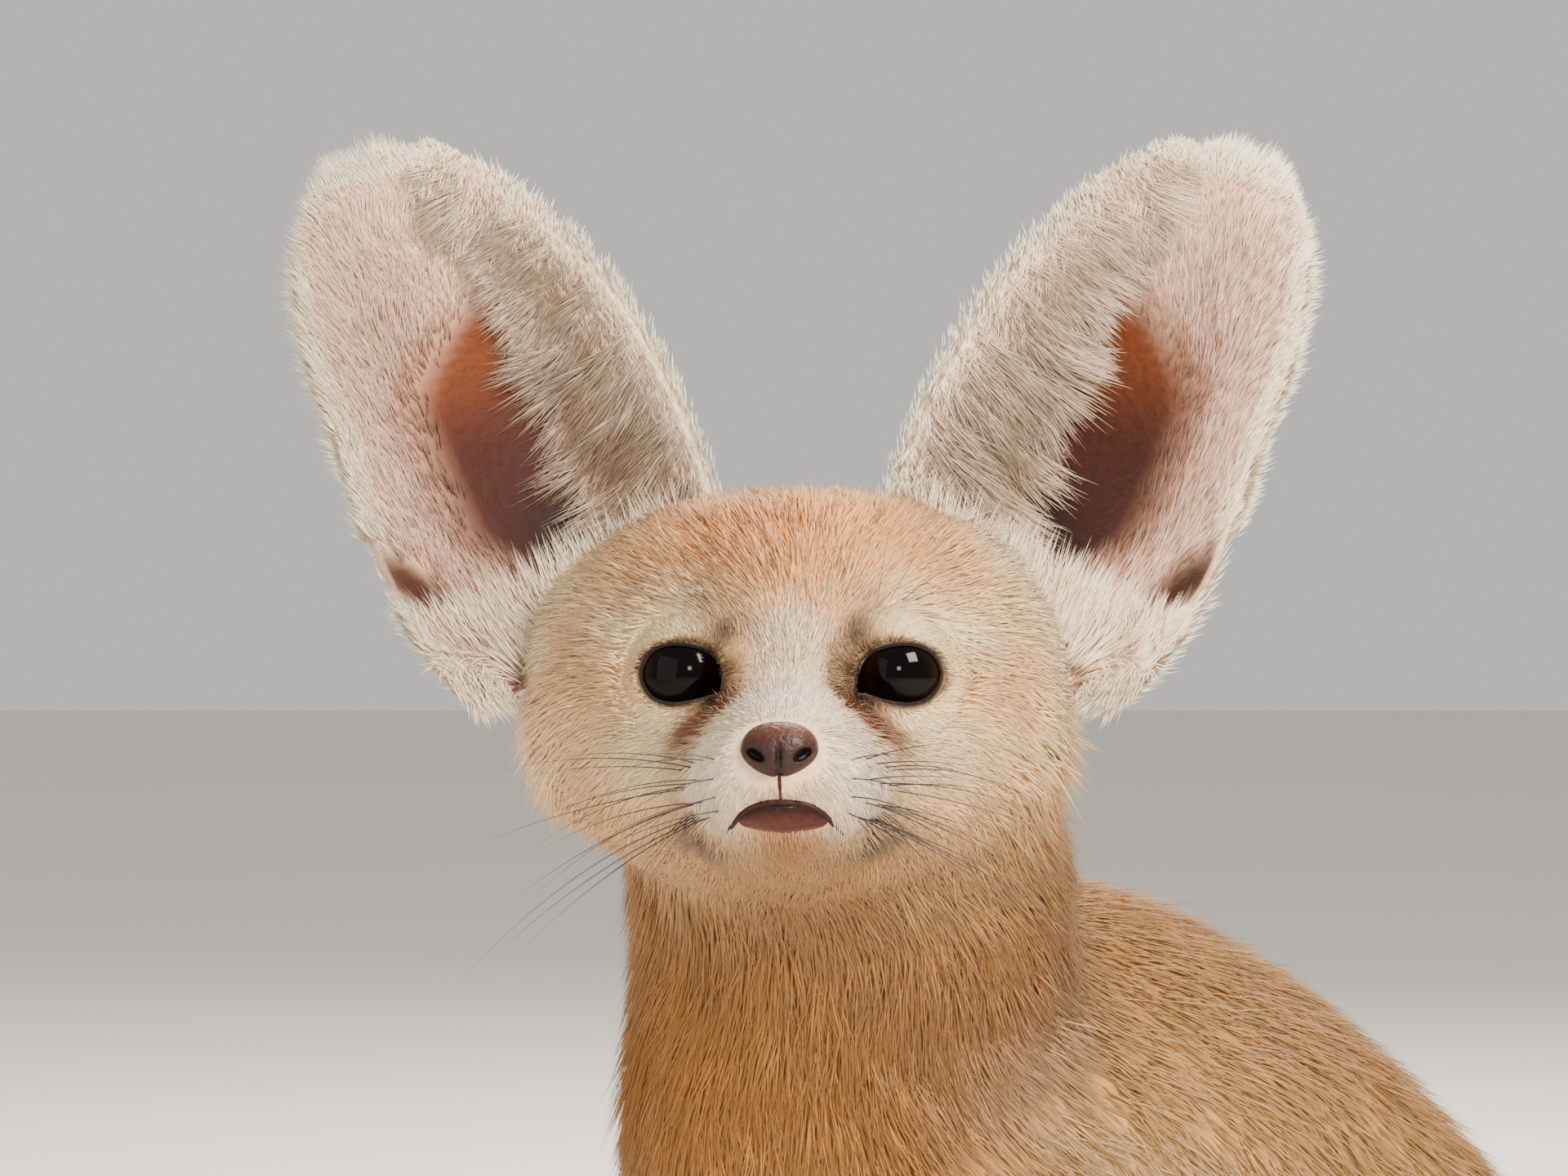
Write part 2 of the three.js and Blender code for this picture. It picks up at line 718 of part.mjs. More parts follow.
function legAxes({ at, heading, apart }, sign) {
  const back = v3(Math.sin(heading * DEGREE), Math.cos(heading * DEGREE), 0);
  const out = v3(back.y, -back.x, 0).multiplyScalar(sign);
  return { at: at.clone().addScaledVector(out, apart), back, out };
}

const placed = (axes, [back, out, up]) =>
  axes.at.clone().addScaledVector(axes.back, back).addScaledVector(axes.out, out).add(v3(0, 0, up));

function limbOn(axes, stations, options) {
  return new Limb(
    stations.map((row) => [...placed(axes, row).toArray(), row[3], row[4]]),
    options,
  );
}

// Toes in a shallow fan from the front of the foot, each with its claw
function toesOn(axes, front, grow = 0) {
  const parts = [];
  for (let k = 0; k < TOES.count; k++) {
    const fan = (k - (TOES.count - 1) / 2) / TOES.fanStep;
    const long = TOES.long - (Math.abs(fan) > 0.5 ? TOES.inner : 0);
    const root = placed(axes, [front[0] + TOES.rootBack, front[1] + fan * TOES.spreads[0], TOES.rootUp]);
    const tip = placed(axes, [front[0] - long, front[1] + fan * TOES.spreads[1], TOES.tipUp]);
    const arch = root.clone().lerp(tip, TOES.bend[0]).addScaledVector(UP, TOES.bend[1]);
    const toe = new Limb(
      [
        [...root.toArray(), TOES.radius, TOES.radius],
        [...arch.toArray(), TOES.radius, TOES.radius],
        [...tip.toArray(), TOES.radius * TOES.tipShare, TOES.radius * TOES.tipShare],
      ],
      { domes: [TOES.dome, TOES.dome], bows: [], steps: TOES.faces[0], around: TOES.faces[1] },
    );
    const aim = axes.back.clone().multiplyScalar(-1).setZ(TOES.clawFall).normalize();
    const clawMiddle = tip.clone().addScaledVector(aim, TOES.clawOut).add(v3(0, 0, TOES.clawUp));
    const claw = new THREE.ConeGeometry(TOES.clawRadius, TOES.claw, TOES.clawFaces);
    const towardsAim = new THREE.Quaternion().setFromUnitVectors(v3(0, 1, 0), aim);
    const turn = new THREE.Matrix4().makeRotationFromQuaternion(towardsAim);
    parts.push(toe.solid(grow), solidOfGeometry(claw, turn.setPosition(clawMiddle)));
  }
  return parts;
}

// Brush of the tail: rings of locks from each root share of its length, turned so that they overlap
const BRUSH = {
  perRing: 6,
  length: 25,
  width: 12.5,
  thick: 2.6,
  core: 0.62, // share of the full radius that the core has
  lift: 0.24,
  rootDepth: 0.8, // in thicknesses
  turnPlay: 0.12,
  play: [0.88, 1.08],
  widthPlay: [0.9, 1.1],
  fullRadius: 9, // of the core where a lock has its full width
  droop: 0.12,
  ringStep: 0.088,
  over: 0.03, // share of the tail by which the last locks of a piece may pass its end, and are cut there
};

function brushOn(limb, from, to, seed) {
  const draw = drawFrom(seed);
  const locks = [];
  const reachShare = BRUSH.length / limb.line.getLength();
  for (let t = from, j = 0; t + reachShare < to + BRUSH.over; t += BRUSH.ringStep, j++) {
    for (let i = 0; i < BRUSH.perRing; i++) {
      const place = i + 0.5 * (j % 2) + draw(-BRUSH.turnPlay, BRUSH.turnPlay);
      const turn = (place / BRUSH.perRing) * 2 * Math.PI;
      const { point, out, along } = limb.surface(t, turn);
      const { wide } = limb.frame(t);
      locks.push(
        lock({
          root: point.addScaledVector(out, -BRUSH.thick * BRUSH.rootDepth),
          along: along
            .clone()
            .multiplyScalar(1 - BRUSH.lift)
            .addScaledVector(out, BRUSH.lift)
            .normalize(),
          out,
          length: BRUSH.length * draw(...BRUSH.play),
          width: BRUSH.width * (wide / BRUSH.fullRadius) * draw(...BRUSH.widthPlay),
          thick: BRUSH.thick,
          droop: out.clone().multiplyScalar(-BRUSH.length * BRUSH.droop),
        }),
      );
    }
  }
  return locks;
}

// Assembly

const headMatrix = new THREE.Matrix4()
  .makeRotationZ(NOSE_ASIDE * DEGREE)
  .multiply(new THREE.Matrix4().makeRotationX(-NOSE_UP * DEGREE));
const eyesMiddle = v3(0, EYE_PLACE.y, EYE_PLACE.z).applyMatrix4(headMatrix);
headMatrix.setPosition(-eyesMiddle.x, 0, EYE_LEVEL - eyesMiddle.z);
const onHead = (solid) => solid.transform(headMatrix.elements);

function headOf(cutters) {
  const cuts = [-1, 1].flatMap((sign) => [eyeBall(sign, LID_GAP), eyeOpening(sign)]);
  const lids = [-1, 1].map((sign) => eyeBall(sign, LID_THICK));
  const face = without(joined([headCore(), ...lids]), [...cuts, nosePad(GAP), mouthSlot()]);
  return onHead(face).add(without(onHead(cheekRuff()), cutters));
}

const floorBlock = solidOfGeometry(
  new THREE.BoxGeometry(2 * FLAT_CUT, 2 * FLAT_CUT, FLAT_CUT),
  new THREE.Matrix4().makeTranslation(0, 0, -FLAT_CUT / 2),
);
const above = (solid, height) => solid.trimByPlane([0, 0, 1], height);
const below = (solid, height) => solid.trimByPlane([0, 0, -1], -height);

const COLOURS = {
  coat: [0xd9a871, 0.9],
  pale: [0xf0dcc2, 0.9],
  nose: [0x3a211c, 0.35],
  eye: [0x0c0908, 0.08],
  dark: [0x4a3324, 0.9],
};
const fox = new THREE.Group();

function addNode(name, solid, finish) {
  const [color, roughness] = COLOURS[finish];
  const kept = largestOf(solid);
  const mesh = new THREE.Mesh(
    geometryOf(kept),
    new THREE.MeshStandardMaterial({ color, roughness, metalness: 0 }),
  );
  mesh.name = name;
  fox.add(mesh);
}

const torsoOf = (grow) => joined([TRUNK.solid(grow), CHEST.solid(grow)]);
const torsoRoom = torsoOf(GAP);
const earRooms = [-1, 1].map((sign) => onHead(earShell(sign, GAP)));
const headRoom = onHead(headCore(ROOM_GAPS * GAP, ROOM_GRID));

addNode('head', headOf([...earRooms, NECK.solid(GAP), torsoRoom]), 'coat');
addNode('nose', onHead(without(nosePad(), [nostril(-1), nostril(1)])), 'nose');
for (const [side, sign] of Object.entries(SIDES)) {
  addNode(`eye_${side}`, onHead(eyeBall(sign)), 'eye');
  const ear = joined([earShell(sign), earFringe(sign)]);
  addNode(`ear_${side}`, onHead(ear).subtract(headRoom), 'pale');
}
addNode('neck', without(NECK.solid(), [headRoom, torsoRoom]), 'coat');

const haunchOf = (axes, grow = 0) =>
  joined([
    limbOn(axes, THIGH, { domes: [12, 8], steps: 5, around: 13 }).solid(grow),
    limbOn(axes, SHANK, { domes: [6, 5], steps: 3, around: 10 }).solid(grow),
  ]);
const footOf = (axes, grow = 0) =>
  limbOn(axes, HIND_FOOT, { domes: [6, 4], steps: 5, around: 10 }).solid(grow);
const FORE_TOES = [-2, 0]; // where they begin, back and out from the leg's root
const HIND_TOES = [-36, 8];

for (const [side, sign] of Object.entries(SIDES)) {
  const fore = legAxes(FORE, sign);
  const hind = legAxes(HIND, sign);
  const foreLeg = limbOn(fore, FORE_LEG, {
    reference: fore.back.clone().negate(),
    domes: [6, 8],
    steps: 8,
    around: 12,
  });
  const foreWhole = joined([foreLeg.solid(), ...toesOn(fore, FORE_TOES)]).subtract(floorBlock);
  addNode(`foreleg_${side}`, above(foreWhole, WRIST + GAP / 2).subtract(torsoRoom), 'coat');
  addNode(`forepaw_${side}`, below(foreWhole, WRIST - GAP / 2), 'pale');
  addNode(`thigh_${side}`, without(haunchOf(hind), [torsoRoom, footOf(hind, GAP), floorBlock]), 'coat');
  const footWhole = joined([footOf(hind), ...toesOn(hind, HIND_TOES)]);
  addNode(`hindfoot_${side}`, without(footWhole, [torsoRoom, floorBlock]), 'pale');
}
addNode('torso', torsoOf(0).subtract(floorBlock), 'coat');

// The tail lies in three lengths, each with its own locks
const tailAxes = { ...legAxes(HIND, 1), at: HIND.at };
const tailCore = limbOn(
  tailAxes,
  TAIL.map(([back, out, up, wide, high]) => [back, out, up, wide * BRUSH.core, high * BRUSH.core]),
  { domes: [6, 6], steps: 14, around: 10 },
);
const tailRooms = [torsoRoom, haunchOf(legAxes(HIND, 1), GAP), footOf(legAxes(HIND, 1), GAP), floorBlock];
const tailPlanes = TAIL_CUTS.map((t) => tailCore.frame(t));
const pastPlane = (solid, { centre, along }, sign) =>
  solid.trimByPlane(along.clone().multiplyScalar(sign).toArray(), sign * centre.dot(along) + GAP / 2);
const [firstCut, secondCut] = TAIL_CUTS;
const TAIL_START = 0.1; // where the first locks are rooted
const TAIL_END = 1.1; // how far the tips of the last ones reach
const TAIL_ROOTS = 0.02; // how far before a cut the next ones are rooted
const tailLength = (from, to, seed, trims) =>
  trims.reduce(
    (solid, [plane, sign]) => pastPlane(solid, tailPlanes[plane], sign),
    without(joined([tailCore.solid(), ...brushOn(tailCore, from, to, seed)]), tailRooms),
  );
addNode('tail_base', tailLength(TAIL_START, firstCut, 31, [[0, -1]]), 'coat');
addNode(
  'tail_middle',
  tailLength(firstCut - TAIL_ROOTS, secondCut, 32, [
    [0, 1],
    [1, -1],
  ]),
  'coat',
);
addNode('tail_tip', tailLength(secondCut - TAIL_ROOTS, TAIL_END, 33, [[1, 1]]), 'dark');

const box = new THREE.Box3().setFromObject(fox);
const middle = box.getCenter(v3());
fox.position.set(-middle.x, -middle.y, -box.min.z);

export default fox;
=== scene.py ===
"""A young fennec fox, life size: skin, coat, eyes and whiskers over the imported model's frame.

Shapes are worked out in millimetres on the stage of the model's source (+Z up, nose towards -Y, the fox's own
left towards +X) and put into the frame, in metres, as each mesh is made.
"""
import logging
import math
from dataclasses import dataclass
from enum import Enum

import bpy
import numpy as np
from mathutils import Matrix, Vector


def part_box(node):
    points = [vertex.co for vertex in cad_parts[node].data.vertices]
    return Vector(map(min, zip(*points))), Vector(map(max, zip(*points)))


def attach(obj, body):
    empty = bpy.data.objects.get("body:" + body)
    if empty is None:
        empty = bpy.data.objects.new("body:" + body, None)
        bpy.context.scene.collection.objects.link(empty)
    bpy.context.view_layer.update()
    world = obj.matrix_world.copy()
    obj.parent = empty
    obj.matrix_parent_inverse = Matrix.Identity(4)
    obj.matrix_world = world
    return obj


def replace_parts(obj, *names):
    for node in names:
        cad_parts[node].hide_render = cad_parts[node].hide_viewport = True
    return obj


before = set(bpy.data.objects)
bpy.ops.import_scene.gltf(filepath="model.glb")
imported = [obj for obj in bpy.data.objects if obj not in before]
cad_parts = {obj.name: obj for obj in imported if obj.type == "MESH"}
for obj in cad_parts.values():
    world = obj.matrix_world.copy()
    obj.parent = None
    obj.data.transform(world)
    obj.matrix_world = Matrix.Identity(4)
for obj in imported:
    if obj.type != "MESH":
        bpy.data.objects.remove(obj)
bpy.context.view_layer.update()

import openvdb
from mathutils import Vector

log = logging.getLogger("fox")
Array = np.ndarray
Pair = tuple[Array, Array]
Draw = np.random.Generator
Piece = bpy.types.Object

MILLIMETRE = 0.001
SIDES = {"right": -1, "left": 1}


# Small sums used by every part

def unit(v: Array) -> Array:
    """Each vector divided by its length."""
    return v / np.maximum(np.linalg.norm(v, axis=-1, keepdims=True), 1e-9)


def dot(a: Array, b: Array) -> Array:
    """Dot product along the last axis, kept as a column."""
    return (a * b).sum(-1, keepdims=True)


def ramp(low: float, high: float, x: Array) -> Array:
    """Smooth step: 0 at low, 1 at high, 3t^2 - 2t^3 between."""
    t = np.clip((x - low) / (high - low), 0.0, 1.0)
    return t * t * (3.0 - 2.0 * t)


def mixed(a: Array, b: Array, share: Array) -> Array:
    """a and b mixed, all b where share is 1."""
    return a + (b - a) * share


def tint(code: str) -> Array:
    """Linear colour of a six-digit screen colour."""
    c = np.array([int(code[i:i + 2], 16) for i in (0, 2, 4)]) / 255.0
    return np.where(c <= 0.04045, c / 12.92, ((c + 0.055) / 1.055) ** 2.4)


def circle(count: int) -> Array:
    """Angles evenly round a circle."""
    return 2 * np.pi * np.arange(count) / count


def turned(axis: str, degrees: float) -> Array:
    """Rotation matrix about X or Z.

    Args:
        axis: X or Z.
        degrees: anticlockwise, seen from its tip.
    Returns:
        The matrix.
    """
    a = math.radians(degrees)
    c, s = math.cos(a), math.sin(a)
    if axis == "X":
        return np.array([[1, 0, 0], [0, c, -s], [0, s, c]])
    return np.array([[c, -s, 0], [s, c, 0], [0, 0, 1]])


def profile(rows: list, place: Array) -> Array:
    """Smooth curve through [place, value, ...] rows.

    It is a cubic between each pair of rows, and its slope at a row is the rise between that row's neighbours
    over their distance.

    Args:
        rows: the rows, in rising order of place.
        place: where to read the curve.
    Returns:
        One column for each value.
    """
    r = np.asarray(rows, float)
    x, y = r[:, 0], r[:, 1:]
    row = np.arange(len(x))
    before, after = np.maximum(row - 1, 0), np.minimum(row + 1, len(x) - 1)
    slope = (y[after] - y[before]) / (x[after] - x[before])[:, None]
    i = np.clip(np.searchsorted(x, place) - 1, 0, len(x) - 2)
    span = (x[i + 1] - x[i])[..., None]
    t = np.clip((np.asarray(place) - x[i])[..., None] / span, 0, 1)
    t2, t3 = t * t, t * t * t
    return ((2 * t3 - 3 * t2 + 1) * y[i] + (t3 - 2 * t2 + t) * span * slope[i]
            + (3 * t2 - 2 * t3) * y[i + 1] + (t3 - t2) * span * slope[i + 1])


def between(a: Array, b: Array, c: Array, d: Array, f: Array) -> Array:
    """Catmull-Rom curve from b to c, with a before and d after them, at share f of the way."""
    return 0.5 * (2 * b + (c - a) * f + (2 * a - 5 * b + 4 * c - d) * f ** 2
                  + (3 * b - a - 3 * c + d) * f ** 3)


def spline(stations: Array, t: Array) -> Array:
    """Catmull-Rom curve through evenly counted stations, read at shares t of its length.

    Args:
        stations: rows of values.
        t: shares of the length.
    Returns:
        A row for each share.
    """
    p = np.vstack([2 * stations[:1] - stations[1:2], stations, 2 * stations[-1:] - stations[-2:-1]])
    x = np.clip(t, 0, 1) * (len(stations) - 1)
    i = np.minimum(x.astype(int), len(stations) - 2)
    return between(p[i], p[i + 1], p[i + 2], p[i + 3], (x - i)[:, None])


@dataclass
class Pose:
    """Where a local frame stands on its carrier: turn, then place."""

    turn: Array
    at: Array

    def out(self, points: Array) -> Array:
        """Local points on the carrier."""
        return points @ self.turn.T + self.at

    def into(self, points: Array) -> Array:
        """The carrier's points in the local frame."""
        return (points - self.at) @ self.turn


def stitched(rings: Array, first: Array | None = None, last: Array | None = None) -> Pair:
    """Closed skin over rings of equal count.

    Args:
        rings: rows by columns by 3.
        first: pole before the first ring, its middle where left out.
        last: pole after the last ring.
    Returns:
        Points and triangles.
    """
    rows, around = rings.shape[:2]
    first = rings[0].mean(0) if first is None else first
    last = rings[-1].mean(0) if last is None else last
    points = np.vstack([first[None], rings.reshape(-1, 3), last[None]])
    r, i = np.meshgrid(np.arange(rows - 1), np.arange(around), indexing="ij")
    j = (i + 1) % around
    a, b, c, d = (1 + r * around + i, 1 + r * around + j, 1 + (r + 1) * around + j, 1 + (r + 1) * around + i)
    this = np.arange(around)
    following = (this + 1) % around
    end = 1 + (rows - 1) * around
    faces = np.vstack([
        np.stack([a, b, c], -1).reshape(-1, 3), np.stack([a, c, d], -1).reshape(-1, 3),
        np.stack([np.zeros_like(this), 1 + following, 1 + this], -1),
        np.stack([np.full_like(this, len(points) - 1), end + this, end + following], -1)])
    return points, outward(points, faces)


def outward(points: Array, faces: Array) -> Array:
    """The faces, all turned round where the volume behind their first three corners comes out below zero."""
    a, b, c = (points[faces[:, k]] for k in range(3))
    return faces if (a * np.cross(b, c)).sum() > 0 else faces[:, ::-1]


# The head's own frame, and what is placed on it

EYE_LEVEL = 170.0
NOSE_UP = 10.0
NOSE_ASIDE = -2.5
EYE_PLACE = np.array([12.8, -13.2, 2.5])
GAZE_OUT = 9.0

_turn = turned("Z", NOSE_ASIDE) @ turned("X", -NOSE_UP)
_eyes = _turn @ (EYE_PLACE * [0, 1, 1])
HEAD = Pose(_turn, np.array([-_eyes[0], 0.0, EYE_LEVEL - _eyes[2]]))


def eye_pose(sign: int) -> Pose:
    """Frame of an eye on the stage: it looks along its own -Y."""
    local = turned("X", NOSE_UP) @ turned("Z", sign * GAZE_OUT)
    return Pose(HEAD.turn @ local, HEAD.out(EYE_PLACE * [sign, 1, 1]))


_low, _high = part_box("eye_left")
SHIFT = (np.array(_low) + np.array(_high)) / 2 / MILLIMETRE - eye_pose(1).at


def to_frame(points: Array) -> Array:
    """Stage millimetres to the frame's metres."""
    return (points + SHIFT) * MILLIMETRE


# Meshes

def put_mesh(name: str, points: Array, faces: Array, colours: Array,
             unwrap: Array | None = None) -> Piece:
    """A mesh object from whole arrays, shaded smooth.

    Args:
        name: the piece's name.
        points: stage millimetres.
        faces: rows of 3 or 4 point numbers.
        colours: linear colour of all, or at each point, kept as the attribute tone.
        unwrap: place of each point on the map OFBake.
    Returns:
        The object, at the origin.
    """
    mesh = bpy.data.meshes.new(name)
    count, corners = faces.shape
    mesh.vertices.add(len(points))
    mesh.loops.add(count * corners)
    mesh.polygons.add(count)
    mesh.vertices.foreach_set("co", to_frame(points).astype(np.float32).ravel())
    mesh.loops.foreach_set("vertex_index", faces.astype(np.int32).ravel())
    mesh.polygons.foreach_set("loop_start", np.arange(0, count * corners, corners, dtype=np.int32))
    mesh.polygons.foreach_set("use_smooth", np.ones(count, bool))
    tone = mesh.attributes.new("tone", "FLOAT_COLOR", "POINT")
    colours = np.c_[np.broadcast_to(colours, points.shape), np.ones(len(points))]
    tone.data.foreach_set("color", colours.astype(np.float32).ravel())
    if unwrap is not None:
        places = mesh.uv_layers.new(name="OFBake")
        places.data.foreach_set("uv", unwrap[faces.ravel()].astype(np.float32).ravel())
    mesh.update()
    mesh.validate()
    made = bpy.data.objects.new(name, mesh)
    bpy.context.scene.collection.objects.link(made)
    return made


def carried(piece: Piece, material: bpy.types.Material) -> Piece:
    """The piece with its material, riding on the fox.

    Args:
        piece: a finished mesh.
        material: its own.
    Returns:
        The piece.
    """
    piece.data.materials.clear()
    piece.data.materials.append(material)
    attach(piece, "root")
    log.info("%s: %d faces", piece.name, len(piece.data.polygons))
    return piece


# Finishes

@dataclass(frozen=True)
class Finish:
    """Plain numbers of one finish, set on the shader's own sockets."""

    name: str
    roughness: float
    grain: float  # scale of the fine variation, per metre
    depth: float  # strength of the colour variation
    bump: float  # height of the fine relief, in metres
    sheen: float = 0.0
    sheen_tint: tuple = (1.0, 1.0, 1.0)
    sheen_roughness: float = 0.45
    coat: float = 0.0
    coat_roughness: float = 0.03
    specular: float = 0.3

    def made(self) -> bpy.types.Material:
        """The material: the tone attribute through the shared grain group, with its relief.

        Returns:
            The material.
        """
        material = bpy.data.materials.new(self.name)
        material.use_nodes = True
        nodes, links = material.node_tree.nodes, material.node_tree.links
        shader = nodes["Principled BSDF"]
        tone = nodes.new("ShaderNodeAttribute")
        tone.attribute_name = "tone"
        grain = nodes.new("ShaderNodeGroup")
        grain.node_tree = grain_group()
        bump = nodes.new("ShaderNodeBump")
        for node, values in (
                (shader, {"Specular IOR Level": self.specular, "Sheen Weight": self.sheen,
                          "Sheen Roughness": self.sheen_roughness, "Sheen Tint": (*self.sheen_tint, 1),
                          "Coat Weight": self.coat, "Coat Roughness": self.coat_roughness}),
                (grain, {"Scale": self.grain, "Depth": self.depth, "Roughness": self.roughness}),
                (bump, {"Strength": 1.0, "Distance": self.bump})):
            for socket, value in values.items():
                node.inputs[socket].default_value = value
        links.new(tone.outputs["Color"], grain.inputs["Colour"])
        links.new(grain.outputs["Colour"], shader.inputs["Base Color"])
        links.new(grain.outputs["Roughness"], shader.inputs["Roughness"])
        links.new(grain.outputs["Height"], bump.inputs["Height"])
        links.new(bump.outputs["Normal"], shader.inputs["Normal"])
        return material


def grain_group() -> bpy.types.NodeTree:
    """Shared group: a colour, a roughness and a height that vary finely over the surface.

    Returns:
        The node group, made once.
    """
    name, detail, roughness_swing = "fine grain", 3.0, 0.2
    if name in bpy.data.node_groups:
        return bpy.data.node_groups[name]
    group = bpy.data.node_groups.new(name, "ShaderNodeTree")
    for label, kind in (("Colour", "Color"), ("Scale", "Float"), ("Depth", "Float"), ("Roughness", "Float")):
        group.interface.new_socket(label, in_out="INPUT", socket_type="NodeSocket" + kind)
    for label, kind in (("Colour", "Color"), ("Roughness", "Float"), ("Height", "Float")):
        group.interface.new_socket(label, in_out="OUTPUT", socket_type="NodeSocket" + kind)
    nodes, links = group.nodes, group.links
    start, end = nodes.new("NodeGroupInput"), nodes.new("NodeGroupOutput")
    place = nodes.new("ShaderNodeTexCoord")
    noise = nodes.new("ShaderNodeTexNoise")
    noise.inputs["Detail"].default_value = detail
    links.new(place.outputs["Object"], noise.inputs["Vector"])
    links.new(start.outputs["Scale"], noise.inputs["Scale"])

    def sum_of(operation: str, a: object, b: object) -> object:
        """One Math node's output; a and b are sockets or numbers.

        Args:
            operation: of the node.
            a, b: what it works on.
        Returns:
            The output socket.
        """
        node = nodes.new("ShaderNodeMath")
        node.operation = operation
        for slot, value in zip(node.inputs, (a, b)):
            if isinstance(value, (int, float)):
                slot.default_value = value
            else:
                links.new(value, slot)
        return node.outputs[0]

    swing = sum_of("SUBTRACT", noise.outputs["Fac"], 0.5)
    bright = sum_of("ADD", sum_of("MULTIPLY", sum_of("MULTIPLY", swing, start.outputs["Depth"]), 2.0), 1.0)
    vary = nodes.new("ShaderNodeVectorMath")
    vary.operation = "SCALE"
    links.new(start.outputs["Colour"], vary.inputs[0])
    links.new(bright, vary.inputs["Scale"])
    links.new(vary.outputs[0], end.inputs["Colour"])
    rough = sum_of("ADD", sum_of("MULTIPLY", swing, roughness_swing), start.outputs["Roughness"])
    links.new(rough, end.inputs["Roughness"])
    links.new(noise.outputs["Fac"], end.inputs["Height"])
    return group


WARM = (1.0, 0.86, 0.68)
HAIR = Finish("hair", roughness=0.65, grain=900, depth=0.10, bump=0.00003, sheen=0.12, sheen_tint=WARM,
              specular=0.16)
SKIN = Finish("skin", roughness=0.72, grain=700, depth=0.18, bump=0.0004, sheen=0.15, sheen_tint=WARM,
              specular=0.2)
EYE = Finish("wet eye", roughness=0.05, grain=60, depth=0.1, bump=0.0, coat=0.1, specular=0.05)
NOSE = Finish("nose leather", roughness=0.45, grain=1700, depth=0.3, bump=0.00030, coat=0.05, specular=0.25)
LIP = Finish("wet lip", roughness=0.5, grain=1100, depth=0.45, bump=0.0004, coat=0.05, specular=0.12)
HORN = Finish("claw horn", roughness=0.35, grain=900, depth=0.25, bump=0.00005, specular=0.5)
WHISKER = Finish("whisker", roughness=0.4, grain=500, depth=0.2, bump=0.0, specular=0.5)


# Volume in which the body is put together

@dataclass
class Volume:
    """A block of evenly spaced points, in stage millimetres, that distances are kept on."""

    low: tuple = (-62, -50, -3)
    high: tuple = (184, 134, 200)
    step: float = 1.2
    band: float = 11.0  # how far from a surface its distance is known

    def __post_init__(self) -> None:
        """Works out the first point and the counts."""
        self.first = np.floor(np.array(self.low) / self.step).astype(int)
        self.shape = tuple(np.ceil(np.array(self.high) / self.step).astype(int) - self.first + 1)

    def grids(self) -> tuple[Array, Array, Array]:
        """X, Y and Z of the points, each shaped to spread over the block."""
        axes = [((self.first[k] + np.arange(self.shape[k])) * self.step).astype(np.float32) for k in range(3)]
        return axes[0][:, None, None], axes[1][None, :, None], axes[2][None, None, :]

    def distance(self, points: Array, faces: Array) -> Array:
        """Signed distance to a closed mesh, below zero inside.

        Args:
            points, faces: the mesh.
        Returns:
            A value for each grid point.
        """
        grid = openvdb.FloatGrid.createLevelSetFromPolygons(
            points.astype(np.float32), triangles=faces.astype(np.uint32),
            transform=openvdb.createLinearTransform(voxelSize=self.step), halfWidth=self.band / self.step)
        values = np.empty(self.shape, np.float32)
        grid.copyToArray(values, ijk=tuple(int(i) for i in self.first))
        return values

    def surface(self, values: Array) -> Pair:
        """Quads where the values pass zero, facing out.

        Args:
            values: over the grid.
        Returns:
            Points and quads.
        """
        grid = openvdb.FloatGrid(self.band)
        grid.transform = openvdb.createLinearTransform(voxelSize=self.step)
        grid.copyFromArray(values.astype(np.float32), ijk=tuple(int(i) for i in self.first))
        points, quads = grid.convertToQuads(isovalue=0.0)
        points = points.astype(float)
        return points, outward(points, quads)

    def read(self, values: Array, points: Array) -> Array:
        """Values at any points, from the eight grid points round each, weighted by nearness.

        Args:
            values: over the grid.
            points: where to read them.
        Returns:
            A value for each point.
        """
        x = points / self.step - self.first
        i = np.clip(np.floor(x).astype(int), 0, np.array(self.shape) - 2)
        f = np.clip(x - i, 0, 1)
        total = np.zeros(len(points))
        for k in range(8):
            corner = np.array([k >> 2 & 1, k >> 1 & 1, k & 1])
            weight = np.where(corner, f, 1 - f).prod(1)
            total += weight * values[tuple((i + corner).T)]
        return total


def melted(a: Array, b: Array, reach: float) -> Array:
    """Smooth union of two distances: the lower one, rounded where they differ by less than reach."""
    h = np.clip(0.5 + 0.5 * (b - a) / reach, 0, 1)
    return b + (a - b) * h - reach * h * (1 - h)


# Head

